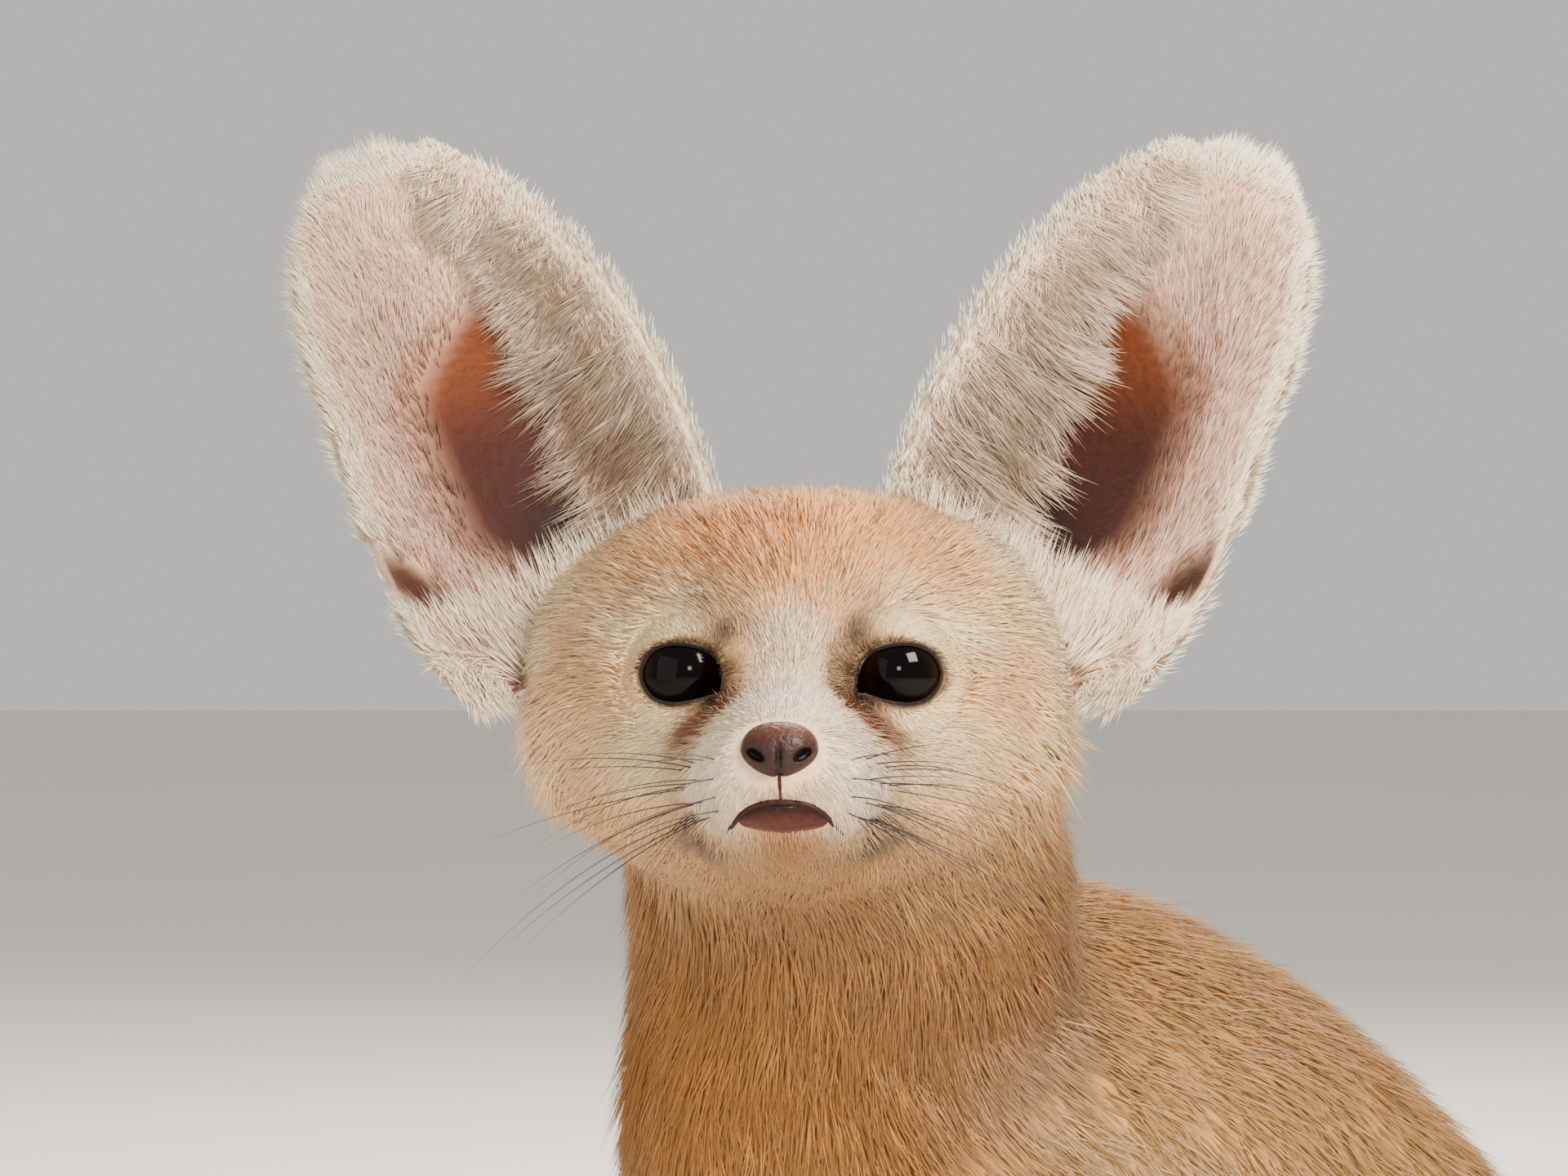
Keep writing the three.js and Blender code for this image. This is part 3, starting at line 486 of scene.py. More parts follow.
@dataclass
class HeadShape:
    """The head as superellipse sections from nose to nape, with rises and hollows of the face."""

    # [y, top, bottom, half width] of each section
    rows: tuple = (
        (-38.5, -11.5, -13.5, 1), (-37, -7.2, -18.4, 6.6), (-34, -5.4, -21, 9.4), (-30, -2.6, -22.4, 10.9),
        (-26, 1, -23.2, 12.2), (-22, 6.8, -24, 14.8), (-18, 15, -24.8, 20), (-13, 22.6, -25.6, 27),
        (-7, 27.6, -26.4, 33), (2, 30.4, -26.6, 36), (12, 28, -24.6, 33.5), (20, 22, -20, 27.5),
        (26, 14, -13, 18.5), (30, 1, -1, 1))
    # [|x|, y, z, reach, height] of each rise, a hollow where the height is below zero
    forms: tuple = (
        (14, -19, 2.5, 6.5, -2.2), (11.5, -16, 10, 6, 1.3), (25, -8, -8, 11, 1.8), (6.5, -32, -14.5, 5, 1.7),
        (9.5, -23, -3, 4.5, -1.1), (3, -36, -20.5, 3.2, -0.7))
    upper: float = 2.25  # power of the superellipse above its middle
    lower: float = 1.85  # the same below
    front_up: float = -12.5  # height of the pole at the nose
    counts: tuple = (80, 120)

    def surface(self, y: Array, turn: Array) -> Pair:
        """Points on the head, in its frame, and their outward directions.

        A section is a superellipse between its top, bottom and half width, and each rise of the face pushes
        it out by its height times exp(-(distance / reach)^2).

        Args:
            y: places along the head.
            turn: angles round it, from its left.
        Returns:
            Points and directions.
        """
        top, bottom, wide = np.moveaxis(profile(self.rows, y), -1, 0)
        high = (top - bottom) / 2
        power = 2 / np.where(np.sin(turn) > 0, self.upper, self.lower)
        c = np.sign(np.cos(turn)) * np.abs(np.cos(turn)) ** power
        s = np.sign(np.sin(turn)) * np.abs(np.sin(turn)) ** power
        out = unit(np.stack([c / wide, 0 * c, s / high], -1))
        points = np.stack([wide * c, y + 0 * c, (top + bottom) / 2 + high * s], -1)
        for x, py, z, reach, push in self.forms:
            for sign in (-1, 1):
                away = np.linalg.norm(points - [sign * x, py, z], axis=-1, keepdims=True) / reach
                points = points + out * push * np.exp(-away ** 2)
        return points, out

    def mesh(self) -> Pair:
        """Closed mesh of the head, on the stage.

        Returns:
            Points and triangles.
        """
        rows, around = self.counts
        first, last = self.rows[0][0], self.rows[-1][0]
        y = first + (last - first) * (1 - np.cos(np.pi * (np.arange(rows) + 0.5) / rows)) / 2
        y, turn = np.meshgrid(y, circle(around), indexing="ij")
        rings = self.surface(y, turn)[0]
        poles = HEAD.out(np.array([[0, first, self.front_up], [0, last, 0.0]]))
        return stitched(HEAD.out(rings), *poles)


# Limbs

@dataclass
class Limb:
    """A rounded limb through stations [x, y, z, half width, half height], domed at both ends."""

    stations: Array
    domes: tuple = (8, 8)
    reference: tuple = (0, 0, 1)
    share: float = 1.0  # of the sizes that is kept

    def line(self, t: Array) -> tuple[Array, Array, Array, Array, Array]:
        """Centre, direction along, side, top and sizes at shares t of the limb.

        Args:
            t: shares of the line.
        Returns:
            Centres, three directions and [half width, half height].
        """
        rows = np.asarray(self.stations, float)
        step = 1e-3
        values = spline(rows, t)
        ahead, behind = (spline(rows[:, :3], np.clip(t + s, 0, 1)) for s in (step, -step))
        along = unit(ahead - behind)
        side = unit(np.cross(along, np.array(self.reference, float)))
        return values[:, :3], along, side, np.cross(side, along), values[:, 3:] * self.share

    def mesh(self, steps: int = 24, around: int = 40) -> Pair:
        """Closed mesh: elliptical rings along the line and quarter-round domes past its ends.

        Args:
            steps: rings between the domes.
            around: corners of a ring.
        Returns:
            Points and triangles.
        """
        bow = np.radians([75, 55, 35, 15])
        count = len(bow)
        t = np.r_[np.zeros(count), np.linspace(0, 1, steps), np.ones(count)]
        past = np.r_[-self.domes[0] * np.sin(bow), np.zeros(steps), self.domes[1] * np.sin(bow[::-1])]
        size = np.r_[np.cos(bow), np.ones(steps), np.cos(bow[::-1])]
        centre, along, side, top, sizes = self.line(t)
        centre = centre + along * past[:, None]
        a = circle(around)[None, :, None]
        sizes = sizes * size[:, None]
        rings = (centre[:, None] + side[:, None] * sizes[:, :1, None] * np.cos(a)
                 + top[:, None] * sizes[:, 1:, None] * np.sin(a))
        ends = [centre[count] - along[0] * self.domes[0], centre[-1 - count] + along[-1] * self.domes[1]]
        return stitched(rings, *ends)

    def near(self, points: Array, count: int = 60) -> tuple[Array, Array, Array]:
        """Where each point lies on the limb, by the line's nearest sample.

        Args:
            points: on the stage.
            count: samples of the line.
        Returns:
            Share along the limb, direction along it, and angle round it.
        """
        t = np.linspace(0, 1, count)
        centre, along, side, top, _ = self.line(t)
        best = np.zeros(len(points), int)
        least = np.full(len(points), np.inf)
        for k in range(count):
            away = ((points - centre[k]) ** 2).sum(1)
            closer = away < least
            best[closer], least[closer] = k, away[closer]
        arm = points - centre[best]
        angle = np.arctan2((arm * top[best]).sum(1), (arm * side[best]).sum(1))
        return t[best], along[best], angle


@dataclass(frozen=True)
class LegAxes:
    """The fox's own axes at one end of its trunk: back, out to a side, and up."""

    at: tuple
    heading: float
    apart: float

    def placed(self, rows: list, sign: int, middle: bool = False) -> Array:
        """Stage rows of [back, out, up, ...] rows, from the leg's root, or from between the legs.

        Args:
            rows: [back, out, up, ...].
            sign: side of the leg.
            middle: whether they start between the legs.
        Returns:
            The rows with stage places.
        """
        h = math.radians(self.heading)
        back = np.array([math.sin(h), math.cos(h), 0])
        out = np.array([back[1], -back[0], 0]) * sign
        r = np.asarray(rows, float)
        root = np.array(self.at, float) + (0 if middle else out * self.apart)
        points = root + r[:, :1] * back + r[:, 1:2] * out + r[:, 2:3] * [0, 0, 1]
        return np.c_[points, r[:, 3:]]


FORE = LegAxes((4, 24, 0), 24, 14)
HIND = LegAxes((72, 77, 0), 66, 25)
LEGS_PART = 50.0  # stage Y between the forelegs and the hind legs
TRUNK = Limb(np.array([
    [8, 35, 109, 30, 36], [22, 50, 107, 32, 40], [42, 62, 101, 33.5, 40], [64, 73, 87, 34, 38],
    [86, 82, 62, 34.5, 36], [100, 87, 35, 33, 33], [104, 88, 12, 27, 27]]), (20, 14))
CHEST = Limb(np.array([
    [3, 28, 129, 24, 20], [1, 25, 119, 26, 23.5], [1, 25, 106, 26.5, 25], [4, 30, 92, 24, 22]]),
    (7, 14), (0, -1, 0))
NECK = Limb(np.array([
    [8, 36, 124, 30, 27], [8, 28, 138, 32, 28], [6, 18, 150, 31, 26], [3, 8, 160, 26, 22]]), (8, 8))
# [back, out, up, half width, half height] along each, from the root of its leg; the tail's from between them
FORE_LEG = [[6, 4, 104, 11, 17], [4, 3, 84, 10, 15], [2, 1, 64, 7.6, 9.6], [-1, 0, 42, 6.2, 7],
            [0, 0, 22, 6, 6.6], [-2, 0, 7, 6.8, 7.2]]
THIGH = [[22, -5, 50, 16, 26], [6, 0, 50, 18, 30], [-12, 3, 44, 16.5, 25], [-27, 4, 36, 12, 17]]
SHANK = [[-25, 6, 31, 10, 12], [-8, 8, 21, 9, 10], [10, 8, 13, 7.5, 8.5]]
HIND_FOOT = [[12, 8, 10, 7, 8.5], [0, 8, 8, 6.6, 7.8], [-20, 8, 6.4, 6.8, 6.8], [-34, 8, 5.8, 7.8, 6.4]]
TAIL_ROWS = [[34, 1, 22, 10, 10], [58, 8, 17, 12, 12], [70, 26, 14.5, 14, 14], [66, 47, 14.5, 15.5, 15],
             [48, 60, 14.5, 16, 15], [24, 64, 13.5, 15, 14], [2, 62, 11, 12, 11.5], [-15, 57, 7, 7, 7]]
TAIL_CORE = 0.60
TAIL = Limb(HIND.placed(TAIL_ROWS, 1, middle=True), (6, 6), share=TAIL_CORE)


@dataclass(frozen=True)
class Toes:
    """Toes in a shallow fan from the front of a foot, each with its claw."""

    count: int = 4
    long: float = 8.5
    radius: float = 3.3
    tip_radius: float = 0.85  # over the radius
    middle_back: float = 1.8  # how far the two middle toes reach past the others
    setback: float = 3.0  # of the root behind the foot's front
    apart: tuple = (3.6, 5.2)  # between the roots and between the tips
    up: tuple = (4.6, 2.2)  # height of root and tip
    bend: tuple = (0.6, 0.8)  # share along a toe of its knuckle, and the knuckle's rise

    def rows(self, front: tuple) -> list:
        """Rows of [back, out, up, half width, half height] for each toe.

        Args:
            front: [back, out] of the foot's front.
        Returns:
            Rows of each toe.
        """
        made = []
        for k in range(self.count):
            fan = (k - (self.count - 1) / 2) / 1.5
            reach = -self.middle_back if abs(fan) > 0.5 else 0.0
            root = np.array([front[0] + self.setback, front[1] + fan * self.apart[0], self.up[0]])
            tip = np.array([front[0] - self.long - reach, front[1] + fan * self.apart[1], self.up[1]])
            knuckle = root + (tip - root) * self.bend[0] + [0, 0, self.bend[1]]
            end = self.radius * self.tip_radius
            made.append([[*root, self.radius, self.radius], [*knuckle, self.radius, self.radius],
                         [*tip, end, end]])
        return made


TOES = Toes()
FORE_FRONT, HIND_FRONT = (-2, 0), (-36, 8)


# Markings: the same for skin and coat

RICHNESS = 1.12


class Tone(Enum):
    """Colours of the coat and skin, some of them darkened or lightened as painted shade and glow."""

    CROWN = "d4935a"
    FOREHEAD = "e6a165"
    FACE = "e3b27c"
    BROW = "fbe6c2"
    BRIDGE = "fdf0d8"
    MUZZLE = "fff4e4"
    TEAR = "5e2214"
    SHADE = "bf8650"
    CHEEK = "e6b888"
    # painted shadow under the jaw: the chin darker than its pale hair
    CHIN = "9a6436"
    # golden throat hair, darkened by painted shade under the head
    THROAT = "9c6a38"
    NAPE = "8c6138"
    BACK = "966c42"
    FLANK = "b08658"
    BELLY = "f0e0c4"
    LEG = "e0c49c"
    PAW = "f2e3c9"
    TAIL = "a47d52"
    TIP = "3a2619"
    # pale rim hair, lighter still as painted glow of light through the ear's edges
    EAR_RIM = "ffe4cc"
    EAR_WOOL = "f7d9bf"
    # painted shade between the wool's hairs
    EAR_WOOL_ROOT = "8f5f4a"
    EAR_INSIDE = "bd9480"
    # the lining's lighter tips, painted light
    EAR_LINING_TIP = "f0d8c8"
    EAR_HOLLOW = "5c3018"
    # red flesh of the hollow, darkened as painted shade low in the cup
    EAR_FLESH = "341510"
    # painted shadow deep in the cup's foot
    EAR_DEEP = "140504"
    # painted shadow inside the slit at the foot of the ear's outer edge
    POCKET = "35140b"
    EAR_BACK = "d2b088"
    DARK = "1c0e0a"
    CORNER = "2e160c"

    def linear(self) -> Array:
        """The colour as linear light, drawn a little away from grey, because the render's film is pale."""
        c = tint(self.value)
        return np.clip(c.mean() + (c - c.mean()) * RICHNESS, 0.0, 0.95)


@dataclass
class Markings:
    """Where each colour lies on the head and body."""

    # [tone, |x|, y, z, reach, strength] in the head's frame, laid one over another
    head: tuple = (
        (Tone.SHADE, 36, 10, -4, 20, 0.7), (Tone.NAPE, 0, 32, 4, 20, 0.8),
        (Tone.CROWN, 0, 6, 32, 21, 0.95), (Tone.FOREHEAD, 0, -13, 20, 13, 0.85),
        (Tone.FOREHEAD, 15, -10, 20, 9, 0.5), (Tone.SHADE, 24, -15, 2, 6, 0.5),
        (Tone.CHEEK, 24, -12, -12, 12, 0.6), (Tone.BROW, 13, -20, 10, 5.5, 0.95),
        (Tone.BROW, 20, -15, 8, 5, 0.8), (Tone.BRIDGE, 0, -22, 5, 5, 0.75),
        (Tone.BROW, 17, -20, -7, 8, 0.9), (Tone.BROW, 27, -8, -4, 6, 0.5),
        (Tone.MUZZLE, 0, -31, -3, 7.5, 1.0), (Tone.MUZZLE, 6.5, -33, -13, 7.5, 1.0),
        # chin patches: painted shadow under the jaw
        (Tone.CHIN, 0, -29.5, -24, 6.5, 0.95), (Tone.CHIN, 0, -33.5, -21, 4.6, 1.0),
        (Tone.TEAR, 8.0, -25.4, -2.4, 2.8, 1.0), (Tone.TEAR, 9.6, -25.0, -4.6, 3.2, 1.0),
        (Tone.TEAR, 11.0, -23.8, -6.4, 3.1, 0.95), (Tone.CORNER, 8.6, -22.2, 1.2, 2.6, 1.0),
        (Tone.CORNER, 8.2, -20.2, 5.2, 2.5, 0.95), (Tone.CORNER, 8.8, -17.8, 9.0, 2.8, 0.5),
        # the throat patches at the end of this line and on the next: golden hair darkened by painted shade
        # under the head
        (Tone.DARK, 8.9, -23.4, -1.6, 2.2, 1.0), (Tone.THROAT, 0, -14, -28, 16, 0.85),
        (Tone.THROAT, 0, 4, -28, 17, 0.75), (Tone.DARK, 9.8, -21.8, -19.0, 3.1, 1.0),
        (Tone.DARK, 12.6, -19.2, -18.4, 2.8, 0.75), (Tone.BROW, 27, -4, 20, 9, 0.9),
        (Tone.BRIDGE, 34, -3, 9, 8, 0.9))
    # Heights over the floor between which a colour gives way to the next
    cream_chest: tuple = (112, 84)
    pale_foot: tuple = (12, 55)
    sandy_haunch: tuple = (60, 95)
    dark_tip: tuple = (0.78, 0.90)  # shares of the tail's length

    def on_head(self, points: Array) -> Array:
        """Colour on the head: each patch covers by its strength times exp(-(distance / reach)^2).

        Args:
            points: on the stage.
        Returns:
            Linear colours.
        """
        p = HEAD.into(points)
        p[:, 0] = np.abs(p[:, 0])
        made = np.tile(Tone.FACE.linear(), (len(p), 1))
        for tone, x, y, z, reach, strength in self.head:
            away = np.linalg.norm(p - [x, y, z], axis=1, keepdims=True) / reach
            made = mixed(made, tone.linear(), strength * np.exp(-away ** 2))
        return made

    def on_trunk(self, points: Array, out: Array) -> Array:
        """Colour of the trunk: tan above, through sandy flanks, to cream below.

        Args:
            points: on the stage; not used.
            out: outward directions.
        Returns:
            Linear colours.
        """
        under = ramp(0.25, -0.65, out[:, 2:3])
        above = ramp(0.1, 0.9, out[:, 2:3])
        made = mixed(Tone.FLANK.linear(), Tone.BACK.linear(), above)
        return mixed(made, Tone.BELLY.linear(), under * 0.85)

    def on_neck(self, points: Array, out: Array) -> Array:
        """Colour of the neck and chest: golden in front, darkened there by painted shade under the head,
        darker behind and to the sides, cream low down.

        Args:
            points: on the stage.
            out: outward directions.
        Returns:
            Linear colours.
        """
        front = ramp(-0.1, -0.9, out[:, 1:2])
        low = ramp(*self.cream_chest, points[:, 2:3])
        made = mixed(Tone.NAPE.linear(), Tone.THROAT.linear(), front)
        return mixed(made, Tone.BELLY.linear(), low * front * 0.7)

    def on_leg(self, points: Array, out: Array) -> Array:
        """Colour of a leg: sandy above, cream at the foot."""
        made = mixed(Tone.PAW.linear(), Tone.LEG.linear(), ramp(*self.pale_foot, points[:, 2:3]))
        return mixed(made, Tone.FLANK.linear(), ramp(*self.sandy_haunch, points[:, 2:3]))

    def on_tail(self, points: Array, out: Array) -> Array:
        """Colour of the tail: rusty, paler below, with a dark tip.

        Args:
            points: on the stage.
            out: outward directions.
        Returns:
            Linear colours.
        """
        share = TAIL.near(points)[0][:, None]
        made = mixed(Tone.TAIL.linear(), Tone.FLANK.linear(), ramp(0.3, -0.6, out[:, 2:3]))
        return mixed(made, Tone.TIP.linear(), ramp(*self.dark_tip, share))


MARKINGS = Markings()
HEAD_SKIN_PAINTED_SHADE = np.array([0.84, 0.76, 0.68])  # painted shade: the head's skin darker than its coat, for the shade deep in the coat
BODY_SKIN_PAINTED_SHADE = np.array([0.90, 0.84, 0.77])  # the same painted shade on the rest, lighter, where gaps in the coat show more


# Coat: solid tapered tufts

@dataclass
class Roots:
    """Everything that is known at the root of each tuft; lengths in millimetres."""

    at: Array
    out: Array
    lie: Array
    length: Array
    width: Array
    lift: Array  # sine of the angle at which it leaves the skin
    bend: Array  # how far its tip falls back towards the skin, as a share of its length
    tone: Array
    tip: Array
    place: Array  # on the unwrap of the skin

    def part(self, mask: Array) -> "Roots":
        """Only the roots where mask is true."""
        return Roots(**{k: v[mask] for k, v in self.__dict__.items()})

    @staticmethod
    def joined(many: list) -> "Roots":
        """Several sets as one."""
        return Roots(**{k: np.concatenate([getattr(m, k) for m in many]) for k in many[0].__dict__})


@dataclass
class Tufts:
    """Builds closed three-sided blades that widen from a point at the root and taper to a point."""

    rings: tuple = ((0.4, 1.0),)  # share of the length, and share of the width there
    flat: float = 0.30  # thickness over width
    sink: float = 0.10  # share of its length that the root lies under the skin
    # painted shade deep in the coat: a tuft's root colour is darkened by this share
    root_painted_shade: float = 0.76
    patch: float = 0.0028  # size of a tuft's place on the unwrap
    floor: float = 0.15  # least height over the floor, in millimetres
    tip_from: float = 0.85  # share of the length from which the tip's colour is whole

    def mesh(self, name: str, roots: Roots) -> Piece:
        """One mesh of all the tufts.

        A tuft's middle line is root + lie * length * cos(lift) * s + out * length * (lift * s - bend * s^2),
        for s from 0 at the root to 1 at the tip. Each ring has two corners at the sides and one on the outer
        face.

        Args:
            name: of the piece.
            roots: where the tufts grow, and how.
        Returns:
            The piece.
        """
        count, rings = len(roots.at), len(self.rings)
        side = unit(np.cross(roots.lie, roots.out))
        lift = roots.lift[:, None]
        along = roots.lie * np.sqrt(1 - lift ** 2)

        def spot(s: float) -> Array:
            """Middle line at share s."""
            rise = roots.out * (lift * s - roots.bend[:, None] * s * s - self.sink * (1 - s))
            return roots.at + (along * s + rise) * roots.length[:, None]

        def tone(s: float) -> Array:
            """Colour at share s: painted shade at the root, going over to the tip's colour."""
            return mixed(roots.tone * self.root_painted_shade, roots.tip, ramp(0, self.tip_from, np.array(s)))

        points, tones, maps = [spot(0.0)], [tone(0.0)], [roots.place - self.patch * np.array([0, 0.5])]
        half = roots.width[:, None] / 2
        for s, share in self.rings:
            middle = spot(s)
            for across, up in ((1, 0), (0, self.flat * 2), (-1, 0)):
                points.append(middle + side * half * share * across + roots.out * half * share * up)
                tones.append(tone(s))
                maps.append(roots.place + self.patch * np.array([across / 2, s - 0.5]))
        points.append(spot(1.0))
        tones.append(roots.tip)
        maps.append(roots.place + self.patch * np.array([0, 0.5]))
        per = 3 * rings + 2
        faces = [[0, 1 + k, 1 + (k + 1) % 3] for k in range(3)]
        for r in range(rings - 1):
            for k in range(3):
                a, b = 1 + 3 * r + k, 1 + 3 * r + (k + 1) % 3
                faces += [[a, a + 3, b + 3], [a, b + 3, b]]
        last = 1 + 3 * (rings - 1)
        faces += [[last + k, per - 1, last + (k + 1) % 3] for k in range(3)]
        order = (np.arange(count)[:, None, None] * per + np.array(faces)[None]).reshape(-1, 3)

        def laid(rows: list) -> Array:
            """Rows of one array each, as tuft after tuft."""
            return np.stack(rows, 1).reshape(count * per, -1)

        placed = laid(points)
        placed[:, 2] = np.maximum(placed[:, 2], self.floor)
        return put_mesh(name, placed, order, laid(tones), laid(maps))


@dataclass(frozen=True)
class Fur:
    """The coat over one part of the body."""

    depth: float  # millimetres that the skin lies inside the solid
    length: float
    width: float
    lift: float
    melt: float  # millimetres over which it runs into the parts before it
    bend: float = 0.12


def swirl(points: Array, reach: float, seed: int) -> Array:
    """Slow variation from -1 to 1 over the body: a sum of sines along seeded directions.

    Args:
        points: where to read it.
        reach: millimetres of a wave.
        seed: of the directions.
    Returns:
        A value for each point.
    """
    draw = np.random.default_rng(seed)
    total = np.zeros(len(points))
    for _ in range(5):
        way = unit(draw.normal(size=3)) * 2 * np.pi / (reach * draw.uniform(0.7, 1.6))
        total += np.sin(points @ way + draw.uniform(0, 2 * np.pi))
    return total / 2.5


def spun(lie: Array, out: Array, angle: Array) -> Array:
    """The lie turned about the outward direction by an angle."""
    return lie * np.cos(angle)[:, None] + np.cross(out, lie) * np.sin(angle)[:, None]


# The body as one skin

NOSE_POINT = np.array([0.0, -40.0, -12.0])
FOLLOWED = 0.85  # share of the skin's turning away that a tuft bends by


def from_nose(points: Array) -> Array:
    """Distance from the tip of the nose."""
    return np.linalg.norm(HEAD.into(points) - NOSE_POINT, axis=-1)


# The head's values are those at the nose, and head_depth and fur_at add to them
FURS = {
    "trunk": Fur(4.8, 12, 0.32, 0.27, 0), "chest": Fur(4.8, 12, 0.29, 0.26, 8),
    "neck": Fur(4.4, 11, 0.28, 0.27, 8), "head": Fur(0.45, 1.5, 0.14, 0.22, 8, 0.10),
    "foreleg": Fur(2.2, 5.5, 0.34, 0.28, 5), "haunch": Fur(4.2, 11, 0.33, 0.27, 7),
    "hindfoot": Fur(1.4, 3.6, 0.28, 0.24, 2), "toe": Fur(0.9, 2.4, 0.24, 0.22, 1.3),
    "tail": Fur(0.3, 21, 0.66, 0.44, 4, 0.2)}


@dataclass
class Body:
    """The parts of flesh, their distances in one volume, and the skin over them."""

    # Raised tufts of the face, as [|x|, y, z, reach, more length, more lift] in the head's frame
    raised: tuple = (
        (9.8, -25.6, -5.0, 2.8, 1.3, 0.25), (10.9, -27.3, -9.6, 3.0, 1.7, 0.35),
        (10.4, -30, -13.2, 2.8, 1.3, 0.3), (9.5, -25, -19, 3.0, 2.2, 0.15))
    hole: tuple = (6.7, 12.5)  # radius of the opening for an eye, and of the ball that it stays within
    sole: float = 0.35  # height of the skin's flats over the floor
    # Depth added to the head's coat, and the distances from the nose between which it grows
    deeper: tuple = (2.5, 10, 55)
    share_reach: float = 3.0
    face_ends: float = -6.0  # Y in the head's frame

    def __post_init__(self) -> None:
        """Makes every part's distance, the whole body's, and its skin."""
        self.volume = Volume()
        x, y, z = self.volume.grids()
        both = (-1, 1)
        limbs = {
            "trunk": [TRUNK], "chest": [CHEST], "neck": [NECK], "head": [HeadShape()],
            "foreleg": [Limb(FORE.placed(FORE_LEG, s), (6, 8), tuple(-self.back_of(FORE))) for s in both],
            "haunch": [Limb(HIND.placed(rows, s), domes) for s in both
                       for rows, domes in ((THIGH, (12, 8)), (SHANK, (6, 5)))],
            "hindfoot": [Limb(HIND.placed(HIND_FOOT, s), (6, 4)) for s in both],
            "toe": [Limb(axes.placed(rows, s), (1.6, 1.6))
                    for axes, front in ((FORE, FORE_FRONT), (HIND, HIND_FRONT))
                    for s in both for rows in TOES.rows(front)],
            "tail": [TAIL]}
        self.distances = {name: self.least(shapes) for name, shapes in limbs.items()}
        whole = None
        for name, values in self.distances.items():
            inside = values + (self.head_depth(x, y, z) if name == "head" else FURS[name].depth)
            whole = inside if whole is None else melted(whole, inside, FURS[name].melt)
        self.closed = whole
        for sign in SIDES.values():
            eye = eye_pose(sign)
            local = [sum((axis - eye.at[k]) * eye.turn[k, j] for k, axis in enumerate((x, y, z)))
                     for j in range(3)]
            flat = np.sqrt(local[0] ** 2 + local[2] ** 2) - self.hole[0]
            ball = np.sqrt(local[0] ** 2 + local[1] ** 2 + local[2] ** 2) - self.hole[1]
            whole = np.maximum(whole, -np.maximum(flat, ball))
        self.whole = np.maximum(whole, self.sole - z + 0 * whole)
        self.slopes = np.gradient(self.whole, self.volume.step)
        self.points, self.quads = self.volume.surface(self.whole)

    @staticmethod
    def back_of(axes: LegAxes) -> Array:
        """Direction from a leg towards the fox's back end."""
        h = math.radians(axes.heading)
        return np.array([math.sin(h), math.cos(h), 0.0])

    def least(self, limbs: list) -> Array:
        """Distance to the nearest of several limbs or other shapes."""
        return np.minimum.reduce([self.volume.distance(*limb.mesh()) for limb in limbs])

    def head_depth(self, x: Array, y: Array, z: Array) -> Array:
        """Depth of the coat on the head: least at the nose, and more with the distance from it.

        Args:
            x, y, z: the grid.
        Returns:
            Millimetres at each grid point.
        """
        nose = HEAD.out(NOSE_POINT)
        away = np.sqrt((x - nose[0]) ** 2 + (y - nose[1]) ** 2 + (z - nose[2]) ** 2)
        return FURS["head"].depth + self.deeper[0] * ramp(*self.deeper[1:], away)

    def out_at(self, points: Array) -> Array:
        """Outward direction of the skin near any points: the slope of the distance."""
        return unit(np.stack([self.volume.read(s, points) for s in self.slopes], -1))

    def shares_at(self, points: Array) -> dict:
        """How far each part holds at each point, by exp(-distance / share_reach), adding up to one.

        Args:
            points: on the stage.
        Returns:
            A column for each part, by name.
        """
        away = {n: self.volume.read(d, points) for n, d in self.distances.items()}
        least = np.min(list(away.values()), axis=0)
        raw = {n: np.exp(-(a - least) / self.share_reach) for n, a in away.items()}
        total = sum(raw.values())
        return {n: (r / total)[:, None] for n, r in raw.items()}

    def tone_at(self, points: Array, out: Array, shares: dict) -> Array:
        """Markings of all parts, mixed by their shares.

        Args:
            points, out: places and outward directions.
            shares: of the parts there.
        Returns:
            Linear colours.
        """
        leg, trunk = MARKINGS.on_leg(points, out), MARKINGS.on_trunk(points, out)
        neck, head = MARKINGS.on_neck(points, out), MARKINGS.on_head(points)
        tones = {"trunk": trunk, "chest": neck, "neck": neck, "head": head, "foreleg": leg,
                 "haunch": mixed(leg, trunk, ramp(14, 50, points[:, 2:3])), "hindfoot": leg, "toe": leg,
                 "tail": MARKINGS.on_tail(points, out)}
        return sum(shares[n] * tones[n] for n in tones)

    def lie_at(self, points: Array, out: Array, shares: dict) -> Array:
        """Direction in which the hair lies: back from the nose, down the neck and legs, along trunk and tail.

        Args:
            points, out: places and outward directions.
            shares: of the parts there.
        Returns:
            Directions along the skin.
        """
        local = HEAD.into(points) - NOSE_POINT
        falling = 0.55 * ramp(18, 32, np.abs(local[:, 0])) * ramp(18, 6, local[:, 2])  # on the cheeks
        head = unit(local) + np.stack([0 * falling, 0.1 + 0 * falling, -falling], -1)
        down = np.array([0.0, 0.1, -1.0])
        rear = unit(TRUNK.stations[2, :3] - TRUNK.stations[0, :3])
        turned_back = ramp(-0.5, 0.5, dot(out, rear))
        neck = mixed(down, rear * 0.9 + [0, 0, -0.45], turned_back)
        back = self.back_of(HIND)
        forward = np.where(points[:, 1:2] < LEGS_PART, -self.back_of(FORE), -back)
        lies = {"head": head @ HEAD.turn.T, "neck": neck, "chest": neck,
                "trunk": TRUNK.near(points)[1] + [0, 0, -0.25], "foreleg": down,
                "haunch": back * 0.55 + [0, 0, -0.8], "hindfoot": forward, "toe": forward,
                "tail": TAIL.near(points)[1]}
        blend = {n: np.sqrt(share) for n, share in shares.items()}
        lie = sum(blend[n] * unit(lies[n] + 0 * points) for n in lies)
        return unit(lie - out * dot(lie, out))

